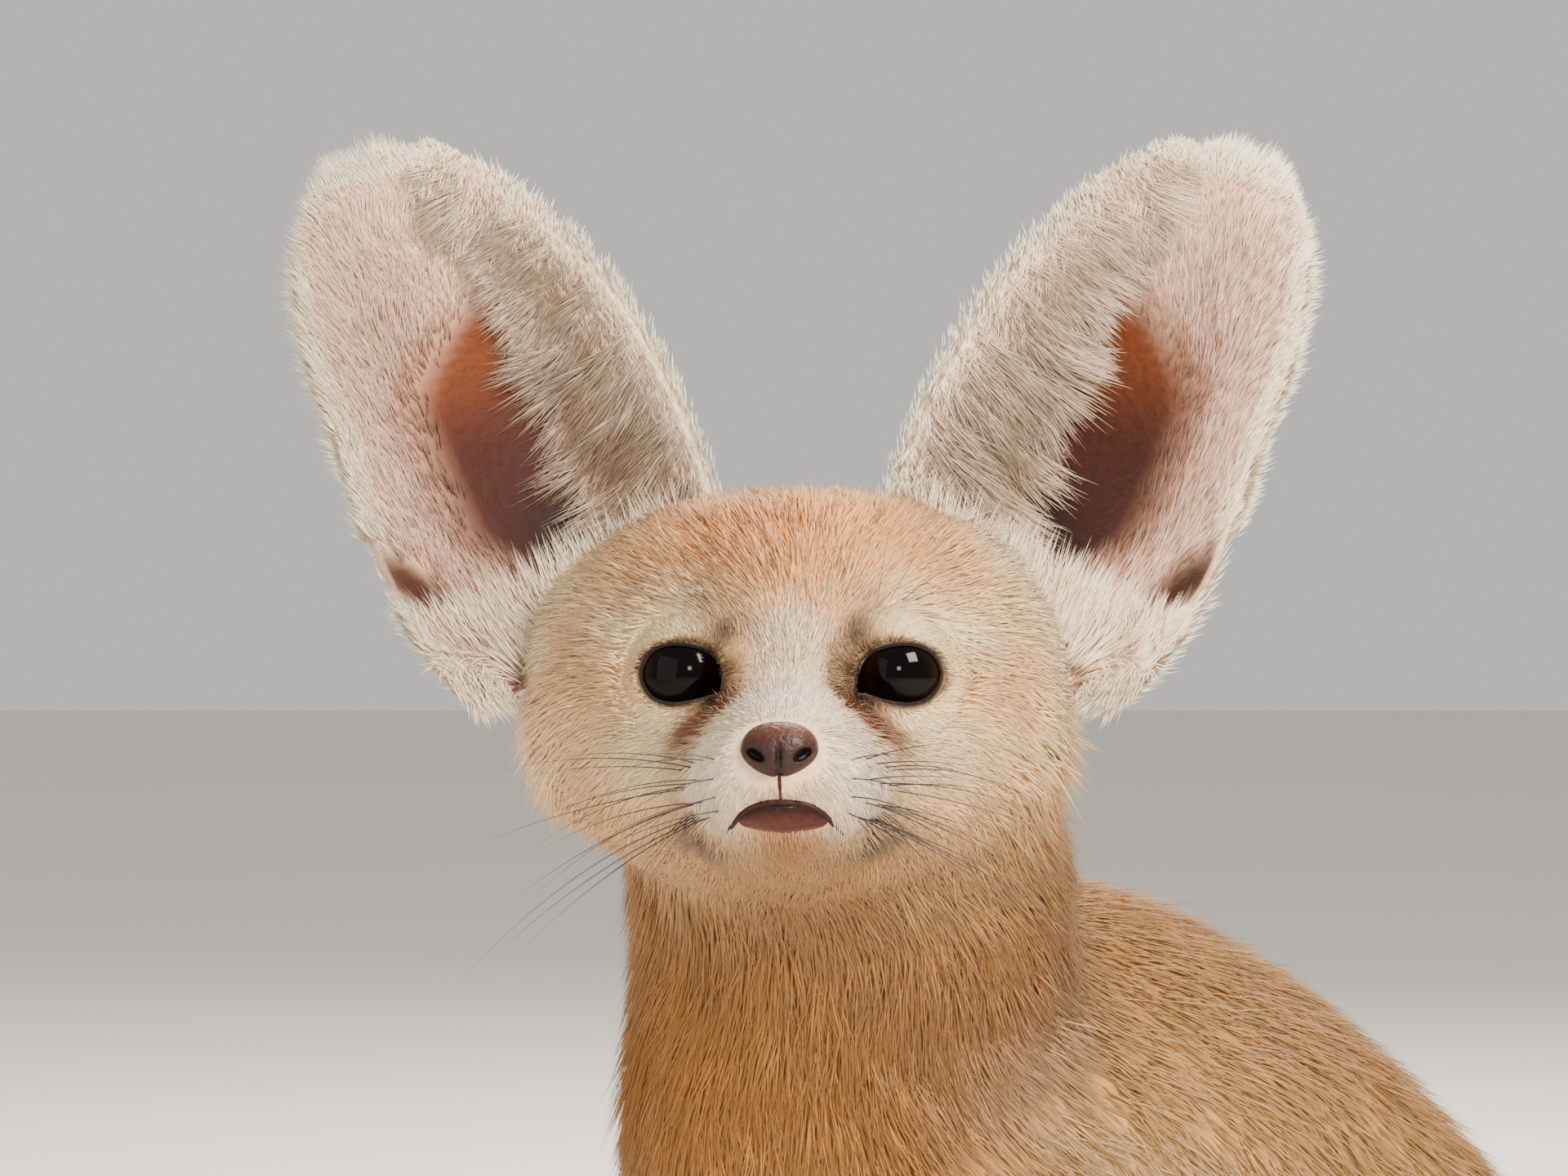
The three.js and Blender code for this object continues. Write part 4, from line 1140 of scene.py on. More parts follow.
    def unwrap_at(self, points: Array, shares: dict) -> Array:
        """Place on the skin's unwrap: a tile for each part, with the angle round it against its length.

        The head is unrolled as a globe about its middle, the trunk, tail and neck as tubes about their lines,
        and the legs and feet by heading round the upright against height, a tile for each leg.

        Args:
            points: on the stage.
            shares: of the parts there.
        Returns:
            Places on the map.
        """
        made = np.zeros((len(points), 2))
        names = list(shares)
        best = np.argmax(np.hstack([shares[n] for n in names]), axis=1)
        local = HEAD.into(points)
        globe = np.stack([np.arctan2(local[:, 0], -local[:, 1]) / (2 * np.pi) + 0.5,
                          np.arccos(np.clip(local[:, 2] / np.linalg.norm(local, axis=1), -1, 1)) / np.pi], -1)
        tubes = {"trunk": TRUNK, "tail": TAIL, "neck": NECK, "chest": CHEST}
        # [left, foot, side] of each tile on the map, whose own side is 1
        tiles = {"head": (0, 0.5, 0.5), "trunk": (0.5, 0.5, 0.5), "tail": (0, 0, 0.35),
                 "neck": (0.36, 0.25, 0.24), "chest": (0.61, 0.25, 0.2)}
        margin = 0.01  # share of a tile left free at each edge
        for k, name in enumerate(names):
            mask = best == k
            p = points[mask]
            if not len(p):
                continue
            if name not in tiles:
                made[mask] = self.leg_place(p)
                continue
            if name == "head":
                place = globe[mask]
            else:
                share, _, angle = tubes[name].near(p)
                place = np.stack([angle / (2 * np.pi) + 0.5, share], -1)
            left, foot, side = tiles[name]
            corner = np.array([left, foot]) + margin * side
            made[mask] = np.clip(place, 0, 1) * side * (1 - 2 * margin) + corner
        return made

    def leg_place(self, p: Array) -> Array:
        """Place on the unwrap of points on the legs: heading round the leg's upright against height.

        Args:
            p: stage points.
        Returns:
            Places in four tiles side by side, one for each leg.
        """
        high, tile, step, start = 110, 0.14, 0.15, (0.37, 0.05)
        middles, apart = np.array([[4.0, 24.0], [66.0, 77.0]]), [14, -8]
        hind = p[:, 1] > LEGS_PART
        left = p[:, 0] > np.where(hind, HIND.at[0], FORE.at[0])
        middle = middles[hind.astype(int)] + (left[:, None] * 2.0 - 1) * apart
        angle = np.arctan2(p[:, 1] - middle[:, 1], p[:, 0] - middle[:, 0]) / (2 * np.pi) + 0.5
        place = np.stack([angle, np.clip(p[:, 2] / high, 0, 1)], -1)
        return place * tile + np.stack([start[0] + step * (left + 2.0 * hind), start[1] + 0 * angle], -1)

    def skin(self) -> Piece:
        """The skin's mesh, with its markings darker than the coat's as painted shade deep in the coat.

        Returns:
            The skin without its ears.
        """
        out = self.out_at(self.points)
        shares = self.shares_at(self.points)
        tone = self.tone_at(self.points, out, shares) * mixed(BODY_SKIN_PAINTED_SHADE, HEAD_SKIN_PAINTED_SHADE, shares["head"])
        return put_mesh("fox_skin", self.points, self.quads, tone)

    def roots(self, counts: dict, seed: int) -> dict:
        """Seeded roots over the whole skin, sorted into regions.

        Args:
            counts: tufts wanted for each region.
            seed: of the random draw.
        Returns:
            Roots by region.
        """
        draw = np.random.default_rng(seed)
        corners = self.points[self.quads]
        middle = corners.mean(1)
        across = np.cross(corners[:, 2] - corners[:, 0], corners[:, 3] - corners[:, 1])
        area = np.linalg.norm(across, axis=1) / 2
        shares = self.shares_at(middle)
        regions = self.region_of(middle, shares)
        length, width, _, _ = self.fur_at(middle, shares)
        weight = area / (length * width) ** 0.7
        made = {}
        for name, count in counts.items():
            mask = regions == name
            pick = np.flatnonzero(mask)
            run = np.cumsum(weight[pick])
            even = (np.arange(count) + draw.random(count)) / count  # one root in each equal share of the run
            chosen = pick[np.searchsorted(run, even * run[-1] * 0.999999)]
            u, v = draw.random((2, count, 1))
            c = corners[chosen]
            at = (c[:, 0] * (1 - u) + c[:, 1] * u) * (1 - v) + (c[:, 3] * (1 - u) + c[:, 2] * u) * v
            made[name] = self.dressed(at, draw)
        return made

    def fur_at(self, points: Array, shares: dict) -> tuple[Array, Array, Array, Array]:
        """Length, width, lift and bend of the tufts at each point.

        Args:
            points: on the stage.
            shares: of the parts there.
        Returns:
            Four arrays.
        """
        away = from_nose(points)
        local = HEAD.into(points)
        side = np.abs(local[:, 0])
        ruff = ramp(20, 31, side) * ramp(6, -4, local[:, 2]) * ramp(-16, -4, local[:, 1])
        nose = FURS["head"]
        head_length = nose.length + 5.2 * ramp(10, 58, away) + 6.5 * ruff
        head_lift = nose.lift + 0.10 * ramp(15, 60, away) + 0.08 * ruff
        mirrored = np.stack([side, local[:, 1], local[:, 2]], -1)
        for x, y, z, reach, longer, higher in self.raised:
            near = np.exp(-((mirrored - [x, y, z]) ** 2).sum(1) / reach ** 2)
            head_length = head_length + longer * near
            head_lift = head_lift + higher * near
        values = {n: (f.length, f.width, f.lift, f.bend) for n, f in FURS.items()}
        totals = [sum(shares[n][:, 0] * values[n][k] for n in values if n != "head") for k in range(4)]
        head = (head_length, nose.width + 0.019 * head_length, head_lift, nose.bend)
        return tuple(totals[k] + shares["head"][:, 0] * head[k] for k in range(4))

    def region_of(self, points: Array, shares: dict) -> Array:
        """Name of the coat piece that each point belongs to.

        Args:
            points: on the stage.
            shares: of the parts there.
        Returns:
            Names.
        """
        names = list(shares)
        best = np.array(names)[np.argmax(np.hstack([shares[n] for n in names]), axis=1)]
        local = HEAD.into(points)
        made = np.where(best == "head", np.where(local[:, 1] < self.face_ends, "face", "crown"), "legs")
        made = np.where((best == "neck") | (best == "chest"), "neck", made)
        trunk = (best == "trunk") | (best == "haunch")
        _, _, angle = TRUNK.near(points)
        made = np.where(trunk, np.where(np.cos(angle) > 0, "flank_right", "flank_left"), made)
        return np.where(best == "tail", "tail", made)

    def dressed(self, at: Array, draw: Draw) -> Roots:
        """Roots with their lie, size and colour.

        Args:
            at: places on the skin.
            draw: the random numbers.
        Returns:
            The roots.
        """
        out = self.out_at(at)
        shares = self.shares_at(at)
        length, width, lift, bend = self.fur_at(at, shares)
        count = len(at)
        lie = self.lie_at(at, out, shares)
        wander = 0.16 * swirl(at, 16, 1) + 0.12 * swirl(at, 5, 2) + draw.normal(0, 0.16, count)
        lie = spun(lie, out, wander)
        length = length * draw.uniform(0.7, 1.2, count) * (1 + 0.1 * swirl(at, 6, 3))
        lift = np.clip(lift * (1 + 0.25 * swirl(at, 7, 4) + draw.normal(0, 0.18, count)), 0.06, 0.8)
        bend = self.following(at, out, lie, length, lift, bend + 0 * lift)
        tone = self.tone_at(at, out, shares)
        shade = (1 + 0.07 * swirl(at, 7, 5) + draw.normal(0, 0.06, count))[:, None]
        tone = tone * np.clip(shade, 0.65, 1.3)
        streak = (draw.random(count) < 0.10 * self.guard_at(at, out, shares))[:, None]
        # dark tips where guard hairs stand; elsewhere a lighter tip, painted light on the coat's surface
        tip = np.where(streak, tone * [0.46, 0.37, 0.32], np.minimum(tone * 1.1 + 0.015, 0.95))
        return Roots(at, out, lie, length, width * draw.uniform(0.8, 1.2, count), lift, bend,
                     tone, tip, self.unwrap_at(at, shares))

    def following(self, at: Array, out: Array, lie: Array, length: Array, lift: Array, bend: Array) -> Array:
        """Bend that keeps a tip near the height it would have over flat skin, whichever way the skin curves.

        Args:
            at, out, lie: place and directions.
            length, lift, bend: of the tuft over flat skin.
        Returns:
            The bend of each.
        """
        height = (lift - bend) * length
        tip = at + lie * (length * np.sqrt(1 - lift ** 2))[:, None] + out * height[:, None]
        off = (self.volume.read(self.whole, tip) - height) / length
        return bend + FOLLOWED * np.clip(off, -0.5, 0.45)

    def guard_at(self, points: Array, out: Array, shares: dict) -> Array:
        """How thickly dark-tipped guard hairs stand: on the forehead, tail and back, and none on the cheeks.

        Args:
            points, out: places and outward directions.
            shares: of the parts there.
        Returns:
            A weight for each point.
        """
        local = HEAD.into(points)
        brow = np.exp(-(np.linalg.norm(local - [0, -8, 24], axis=1) / 20) ** 2)
        return (shares["head"][:, 0] * brow * 3.6
                + shares["trunk"][:, 0] * 1.8 * ramp(0.0, 0.7, out[:, 2])
                + shares["neck"][:, 0] * 1.2 * ramp(0.2, 0.8, out[:, 1])
                + shares["tail"][:, 0] * 2.0)


# Ears

@dataclass
class Ear:
    """A cup between a steep inner wall and a long outer slope, worked out for the left ear and mirrored.

    A place on it is a share u of its length and a place q across it, from -1 at the inner edge to 1 at the
    outer.
    """

    side: str
    root: tuple = (26.0, 3.0, 17.0)
    way: tuple = (0.455, -0.01, 0.89)  # along it
    turn: float = 16.0  # degrees that the cup is turned forward about its length
    length: float = 64.0
    half_width: float = 22.5
    thick: float = 2.6
    deepest: float = -0.3  # across
    widest: float = 0.28  # share of the length
    tip_power: float = 2.5
    sunk: float = 9.0  # millimetres of its foot inside the head
    last: float = 0.985  # share of the length at which the tip closes
    skirt: float = 4.0  # how far the outer edge's foot flares
    lean: float = 0.2
    lean_from: float = 0.45
    inset: float = 1.3  # millimetres between the skin's edge and the coat's
    depth_rows: tuple = ((-0.2, 6), (0, 12), (0.3, 15), (0.7, 8), (0.9, 2.5), (1, 0))  # [u, depth of the cup]
    skin_share: float = 0.62  # of the solid's thickness that the skin has
    skin_counts: tuple = (56, 44)
    skin_shade: tuple = (0.94, 0.84, 0.80)  # painted shade: the skin darker than the coat over it
    pocket_at: tuple = (0.14, 0.86)  # u and q of the slit at the outer edge's foot
    pocket_reach: tuple = (0.11, 0.15)
    pocket_slope: float = 1.2
    counts: tuple = (14500, 7200, 6000, 5000, 650, 2600)  # tufts of lining, wool, back, rims, tip and fluff

    def __post_init__(self) -> None:
        """Works out the ear's own directions: along it, across it to the outer edge, and out of its back."""
        self.sign = SIDES[self.side]
        self.along = unit(np.array(self.way))
        a = math.radians(-self.turn)
        y = np.array([0.0, 1.0, 0.0])
        ahead = (y * math.cos(a) + np.cross(self.along, y) * math.sin(a)
                 + self.along * (self.along @ y) * (1 - math.cos(a)))
        self.across = unit(np.cross(self.along, ahead))
        if self.across[0] < 0:
            self.across = -self.across
        self.back = unit(np.cross(self.across, self.along))
        if self.back[1] < 0:
            self.back = -self.back

    def width_at(self, u: Array, q: Array | float = 0.0) -> Array:
        """Half width at share u of the length: 1 - 0.9 (widest - u)^1.6 below, a rounded tip above.

        The inner half (q below 0) gets narrower by the lean towards the tip.

        Args:
            u, q: places on the ear.
        Returns:
            Millimetres.
        """
        low = 1 - 0.9 * np.maximum(self.widest - u, 0) ** 1.6
        above = np.maximum(u - self.widest, 0) / (1 - self.widest)
        high = np.sqrt(np.maximum(0, 1 - above ** self.tip_power))
        leaning = np.where(np.asarray(q) < 0, 1 - self.lean * ramp(self.lean_from, 1, u), 1.0)
        return self.half_width * np.where(u < self.widest, low, high * leaning)

    def middle(self, u: Array, q: Array) -> Array:
        """Point of the cup's middle sheet, in the head's frame.

        Args:
            u, q: places on the ear.
        Returns:
            Points.
        """
        near = 1 - ((q - self.deepest) / (-1 - self.deepest)) ** 2
        far = 1 - np.abs((q - self.deepest) / (1 - self.deepest)) ** 1.7
        bow = np.where(q < self.deepest, near, far)
        skirt = self.skirt * np.maximum(0, q) * ramp(0, 0.5, 0.5 - u)
        depth = profile(self.depth_rows, u)[..., 0]
        return (np.array(self.root) + self.along * (u * self.length)[..., None]
                + self.across * (q * self.width_at(np.minimum(u, 0.999), q) + skirt)[..., None]
                + self.back * (depth * bow)[..., None])

    def read(self, u: Array, q: Array, shift: Array | float) -> Pair:
        """Point at a distance from the middle sheet, and the direction into the cup, on the stage.

        Args:
            u, q: places on the ear.
            shift: millimetres into the cup, less near the rim.
        Returns:
            Points and directions.
        """
        step = 0.01
        low, edge = np.minimum(u, 0.97), np.clip(q, -0.97, 0.97)
        du = self.middle(low + step, q) - self.middle(low - step, q)
        dq = self.middle(low, edge + step) - self.middle(low, edge - step)
        out = unit(np.cross(du, dq))
        out = np.where(dot(out, self.back) > 0, -out, out)
        rim = (1 - 0.45 * np.abs(q) ** 6) * (1 - 0.7 * np.maximum(0, u) ** 16)
        point = self.middle(u, q) + out * (np.asarray(shift) * rim)[..., None]
        return self.staged(point), self.staged(out, place=False)

    def staged(self, v: Array, place: bool = True) -> Array:
        """A point or direction of the left ear, on this ear and on the stage."""
        v = v * [self.sign, 1, 1]
        return HEAD.out(v) if place else v @ HEAD.turn.T

    def hollow(self, u: Array, q: Array) -> Array:
        """How far a place lies in the bare red hollow, whose inner side the wool hangs over.

        Args:
            u, q: places on the ear.
        Returns:
            Shares.
        """
        outer = mixed(-0.25, 0.44, ramp(0.74, 0.46, u)) - 0.22 * ramp(0.22, 0.06, u)
        along = ramp(0.76, 0.60, u) * ramp(-0.03, 0.04, u)
        return ramp(0.22, -0.20, q - outer) * ramp(-0.8, -0.62, q) * along

    def pocket(self, u: Array, q: Array) -> Array:
        """How far a place lies in the slit of skin at the outer edge's foot.

        Args:
            u, q: places on the ear.
        Returns:
            Shares.
        """
        up = u - self.pocket_at[0]
        across = (q - self.pocket_at[1] - self.pocket_slope * up) / self.pocket_reach[1]
        return np.exp(-(across ** 2 + (up / self.pocket_reach[0]) ** 2) ** 2)

    def tone(self, u: Array, q: Array) -> Array:
        """Colour inside the cup: cream rims lightened as painted glow, whitish wool over a pink lining, a red
        hollow by the inner wall that darkens to painted shade towards its foot, and painted shadow in the
        pocket's slit.

        Args:
            u, q: places on the ear.
        Returns:
            Linear colours.
        """
        hollow = self.hollow(u, q)[..., None]
        rim = np.maximum(ramp(0.78, 0.97, np.abs(q)), ramp(0.90, 0.98, u))
        inner = np.exp(-((q + 0.85) / 0.2) ** 2)
        made = mixed(Tone.EAR_WOOL.linear(), Tone.EAR_INSIDE.linear(),
                     (np.exp(-((q - 0.35) / 0.5) ** 2) * ramp(1.0, 0.6, u))[..., None])
        # the hollow darkens towards the cup's foot and nearly to black deep in it: painted shade over the red
        # flesh
        flesh = mixed(Tone.EAR_HOLLOW.linear(), Tone.EAR_FLESH.linear(), ramp(0.58, 0.36, u)[..., None])
        flesh = mixed(flesh, Tone.EAR_DEEP.linear(), (ramp(0.36, 0.12, u) * ramp(0.4, -0.1, q))[..., None])
        made = mixed(made, flesh, hollow)
        made = mixed(made, Tone.EAR_WOOL.linear(), inner[..., None] * 0.8)
        # pale rims, lightened as painted glow
        made = mixed(made, Tone.EAR_RIM.linear(), rim[..., None])
        # painted shadow in the slit at the outer edge's foot
        return mixed(made, Tone.POCKET.linear(), self.pocket(u, q)[..., None])

    def back_tone(self, u: Array, q: Array) -> Array:
        """Colour of the ear's back: sandy orange with a pale rim, lightened as painted glow."""
        edge = np.maximum(ramp(0.7, 1.0, np.abs(q)), ramp(0.85, 1.0, u))
        return mixed(Tone.EAR_BACK.linear(), Tone.EAR_RIM.linear(), (edge * 0.8)[..., None])

    def skin(self) -> Piece:
        """Closed shell of the ear's skin.

        Returns:
            The shell.
        """
        rows, columns = self.skin_counts
        j = np.arange(rows + 1) / rows
        last = self.last - self.inset / self.length
        u = -self.sunk / self.length + (last + self.sunk / self.length) * np.sin(j * np.pi / 2) ** 0.9
        q = np.sin((np.arange(columns + 1) / columns - 0.5) * np.pi)
        half = self.thick / 2 * self.skin_share
        uu, qq = np.meshgrid(u, np.r_[q, q[::-1]], indexing="ij")
        sides = np.r_[np.full(columns + 1, half), np.full(columns + 1, -half)][None, :] + 0 * uu
        qq = qq * (1 - self.inset / np.maximum(self.width_at(uu, qq), 3 * self.inset))
        rings, _ = self.read(uu, qq, sides)
        tip = self.staged(self.middle(np.array(last + 0.006), np.array(0.0)))
        points, faces = stitched(rings, None, tip)
        tones = np.where(sides[..., None] > 0, self.tone(uu, qq), self.back_tone(uu, qq)).reshape(-1, 3)
        tones = np.vstack([tones[:1], tones, Tone.EAR_RIM.linear()[None]]) * self.skin_shade
        return put_mesh("ear_skin_" + self.side, points, faces, tones)

    def spread(self, count: int, draw: Draw, lengths: tuple, widths: tuple) -> Pair:
        """Even random places.

        Args:
            count: how many at most.
            draw: the random numbers.
            lengths: lowest and highest u.
            widths: lowest and highest q.
        Returns:
            u and q of each.
        """
        u = draw.uniform(*lengths, count * 3)
        keep = draw.random(count * 3) < self.width_at(u) / self.half_width
        u = u[keep][:count]
        return u, draw.uniform(*widths, len(u))

    def clumps(self, u: Array, q: Array, stretch: float, seed: int) -> Array:
        """Locks the hair hangs together in, from -1 to 1, longer across the ear by the stretch."""
        flat = np.stack([u * self.length, q * self.half_width / stretch, 0 * u], -1)
        return np.clip(swirl(flat, 2.6, seed), -1, 1)

    def tufts(self, draw: Draw, place: tuple, face: int, ways: tuple, length: Array | float,
              width: float, lift: Array | float, bend: float, tone: Array, tip: Array | None = None) -> Roots:
        """Roots on one face of the ear, each bent so that it follows the cup's curve.

        Args:
            draw: the random numbers.
            place: u and q of each root.
            face: 1 inside the cup, -1 on the back.
            ways: weights of along and across in the lie.
            length: before its random share, as width is.
            width: of a tuft.
            lift: sine of the angle to the skin.
            bend: share of the length that the tip falls back by, over flat skin.
            tone: colour at the root.
            tip: colour at the tip; where left out, a little lighter than the root's, as painted light.
        Returns:
            The roots.
        """
        u, q = place
        count = len(u)
        at, out = self.read(u, q, face * self.thick / 2 * self.skin_share)
        out = out * face
        along, across = (self.staged(v, place=False) for v in (self.along, self.across))
        lie = sum(np.asarray(w)[..., None] * v for w, v in zip(ways, (along, across)))
        lie = unit(lie - out * dot(lie, out))
        lie = spun(lie, out, draw.normal(0, 0.14, count) + 0.25 * swirl(at, 8, 6))
        shade = (1 + draw.normal(0, 0.06, count) + 0.06 * swirl(at, 5, 7))[:, None]
        # a lighter tip is painted light
        tip = tone * 1.12 + 0.02 if tip is None else tip
        tile = 0.5 if face > 0 else 0.0
        unwrapped = np.stack([tile + 0.02 + 0.46 * (q + 1) / 2, 0.02 + 0.95 * (u + 0.15) / 1.15], -1)
        length = length * draw.uniform(0.7, 1.2, count)
        lift = np.clip(lift * draw.uniform(0.7, 1.3, count), 0.05, 0.9)
        # How far the cup's surface under the tip has turned away from a flat one
        far_u = u + length * dot(lie, along)[:, 0] / self.length
        far_q = q + length * dot(lie, across)[:, 0] / self.width_at(np.minimum(u, 0.97), q)
        beyond, facing = self.read(np.clip(far_u, -0.14, 0.97), np.clip(far_q, -1, 1), face * self.thick / 2)
        tip_at = at + (lie * np.sqrt(1 - lift ** 2)[:, None] + out * (lift - bend)[:, None]) * length[:, None]
        off = dot(tip_at - beyond, facing * face)[:, 0] / length - (lift - bend)
        off = np.where((np.abs(far_q) < 1) & (far_u < 0.97), np.clip(off, -0.7, 0.6), 0.0)
        return Roots(at, out, lie, length, width * draw.uniform(0.8, 1.2, count), lift,
                     bend + FOLLOWED * off, tone * shade, np.minimum(tip * shade, 0.95), unwrapped)

    def lining(self, draw: Draw) -> Roots:
        """Fine hair inside the cup, left out over the red hollow and the pocket.

        Args:
            draw: the random numbers.
        Returns:
            The roots.
        """
        u, q = self.spread(self.counts[0], draw, (-0.12, 0.95), (-0.9, 0.95))
        bare = np.maximum(self.hollow(u, q), self.pocket(u, q))
        keep = draw.random(len(u)) > 1.05 * bare
        u, q, bare = u[keep], q[keep], bare[keep]
        clump = self.clumps(u, q, 0.7, 80)
        # the lining's roots darker as painted shade and its tips lighter as painted light, except over the
        # bare hollow
        root = self.tone(u, q) * (1 + 0.10 * clump)[:, None]
        tip = mixed(root, Tone.EAR_LINING_TIP.linear(), 0.5 * (1 - ramp(0, 0.3, bare))[:, None])
        length = (3.2 + 1.8 * ramp(0.0, 0.6, q)) * (1 - 0.6 * ramp(0.84, 0.96, u))
        ways = (0.75 + 0.1 * clump, 0.8 * (q - 0.15) + 0.15 * clump)
        return self.tufts(draw, (u, q), 1, ways, length, 0.16, 0.27 + 0.07 * clump, 0.12, root * 0.9, tip)

    def wool(self, draw: Draw) -> Roots:
        """Long wool of the inner edge, hanging over the hollow in locks, with painted shade between its hairs
        and locks.

        Args:
            draw: the random numbers.
        Returns:
            The roots.
        """
        u, q = self.spread(self.counts[1], draw, (-0.06, 0.93), (-0.97, -0.5))
        parted = np.exp(-((u - 0.6) / 0.14) ** 2)  # where the hollow's top shows
        length = 2.5 + 4.5 * ramp(0.97, 0.85, u) + 3.0 * ramp(0.8, 0.35, u) - 2.4 * parted
        length = length * (0.7 + 0.3 * ramp(-1.0, -0.8, q))
        inside = ramp(-0.96, -0.84, q) * ramp(0.75, 0.4, u)
        clump = self.clumps(u, q, 3.0, 81)
        # each hair lies between the painted shade and the pale rim by a random share, darker deeper in the
        # cup and between locks as painted shade
        fleck = (draw.random(len(u)) ** 0.8 * (1 - 0.4 * inside) * (0.7 + 0.3 * clump))[:, None]
        upward = -0.32 + 0.95 * ramp(0.14, -0.04, u) + 0.7 * ramp(0.84, 0.97, u)
        tone = mixed(Tone.EAR_WOOL_ROOT.linear(), Tone.EAR_RIM.linear(), fleck)
        # the roots darker still, as painted shade, and the tips lighter towards the rim's colour as painted
        # light
        return self.tufts(draw, (u, q), 1, (upward + 0.12 * clump, 1), length * (1 + 0.12 * clump), 0.17,
                          0.33 + 0.10 * clump, 0.27, tone * 0.8, mixed(tone, Tone.EAR_RIM.linear(), 0.6))

    def edges(self, draw: Draw) -> list:
        """Hair of the rims and the tip, on both faces, that stands past the edge, furthest on the outer side.

        Args:
            draw: the random numbers.
        Returns:
            Four sets of roots.
        """
        u = draw.uniform(-0.13, 0.95, self.counts[3])
        q = np.where(draw.random(len(u)) < 0.42, -1, 1) * draw.uniform(0.84, 0.98, len(u))
        face = np.where(draw.random(len(u)) < 0.5, 1, -1)
        keep = self.pocket(u, q) < 0.4
        # rim hair: pale, with painted glow
        tone = Tone.EAR_RIM.linear()
        made = []
        for f in (1, -1):
            m = (face == f) & keep
            length = np.where(q[m] < 0, 2.4, 3.5) - 1.5 * ramp(0.78, 0.94, u[m])
            made.append(self.tufts(draw, (u[m], q[m]), f, (0.8, 0.9 * q[m]), length, 0.18, 0.2, 0.05, tone))
            tip = draw.uniform(0.91, 0.962, self.counts[4]), draw.uniform(-1, 1, self.counts[4])
            length = mixed(1.3, 4.4 - 1.6 * ramp(0.7, 1, tip[1]), ramp(-0.75, 0.1, tip[1]))
            made.append(self.tufts(draw, tip, f, (1, 0.35 * tip[1]), length, 0.16, 0.16, 0.04, tone))
        return made

    def coat(self, seed: int) -> Roots:
        """All tufts of the ear: lining, wool, back, rims and tip, and the white fluff across its base.

        Args:
            seed: of the random draw.
        Returns:
            The roots.
        """
        draw = np.random.default_rng(seed)
        made = [self.lining(draw), self.wool(draw)]
        u, q = self.spread(self.counts[2], draw, (-0.13, 0.95), (-0.96, 0.96))
        length = 4.0 - 2.5 * ramp(0.8, 0.95, u)
        made.append(self.tufts(draw, (u, q), -1, (1, 0.25 * q), length, 0.28, 0.22, 0.1,
                               self.back_tone(u, q)))
        made += self.edges(draw)
        u, q = draw.uniform(-0.14, 0.04, self.counts[5]), draw.uniform(-0.8, 1.0, self.counts[5])
        down = ramp(0.45, 0.85, q) * ramp(0.0, -0.06, u)
        length = 8.6 - 3.6 * np.maximum(q, 0)
        made.append(self.tufts(draw, (u, q), 1, (1 - 2 * down, 0.5 * q), length, 0.22, 0.42, 0.2,
                               Tone.EAR_WOOL.linear()))
        return Roots.joined(made)


# Eyes and lids

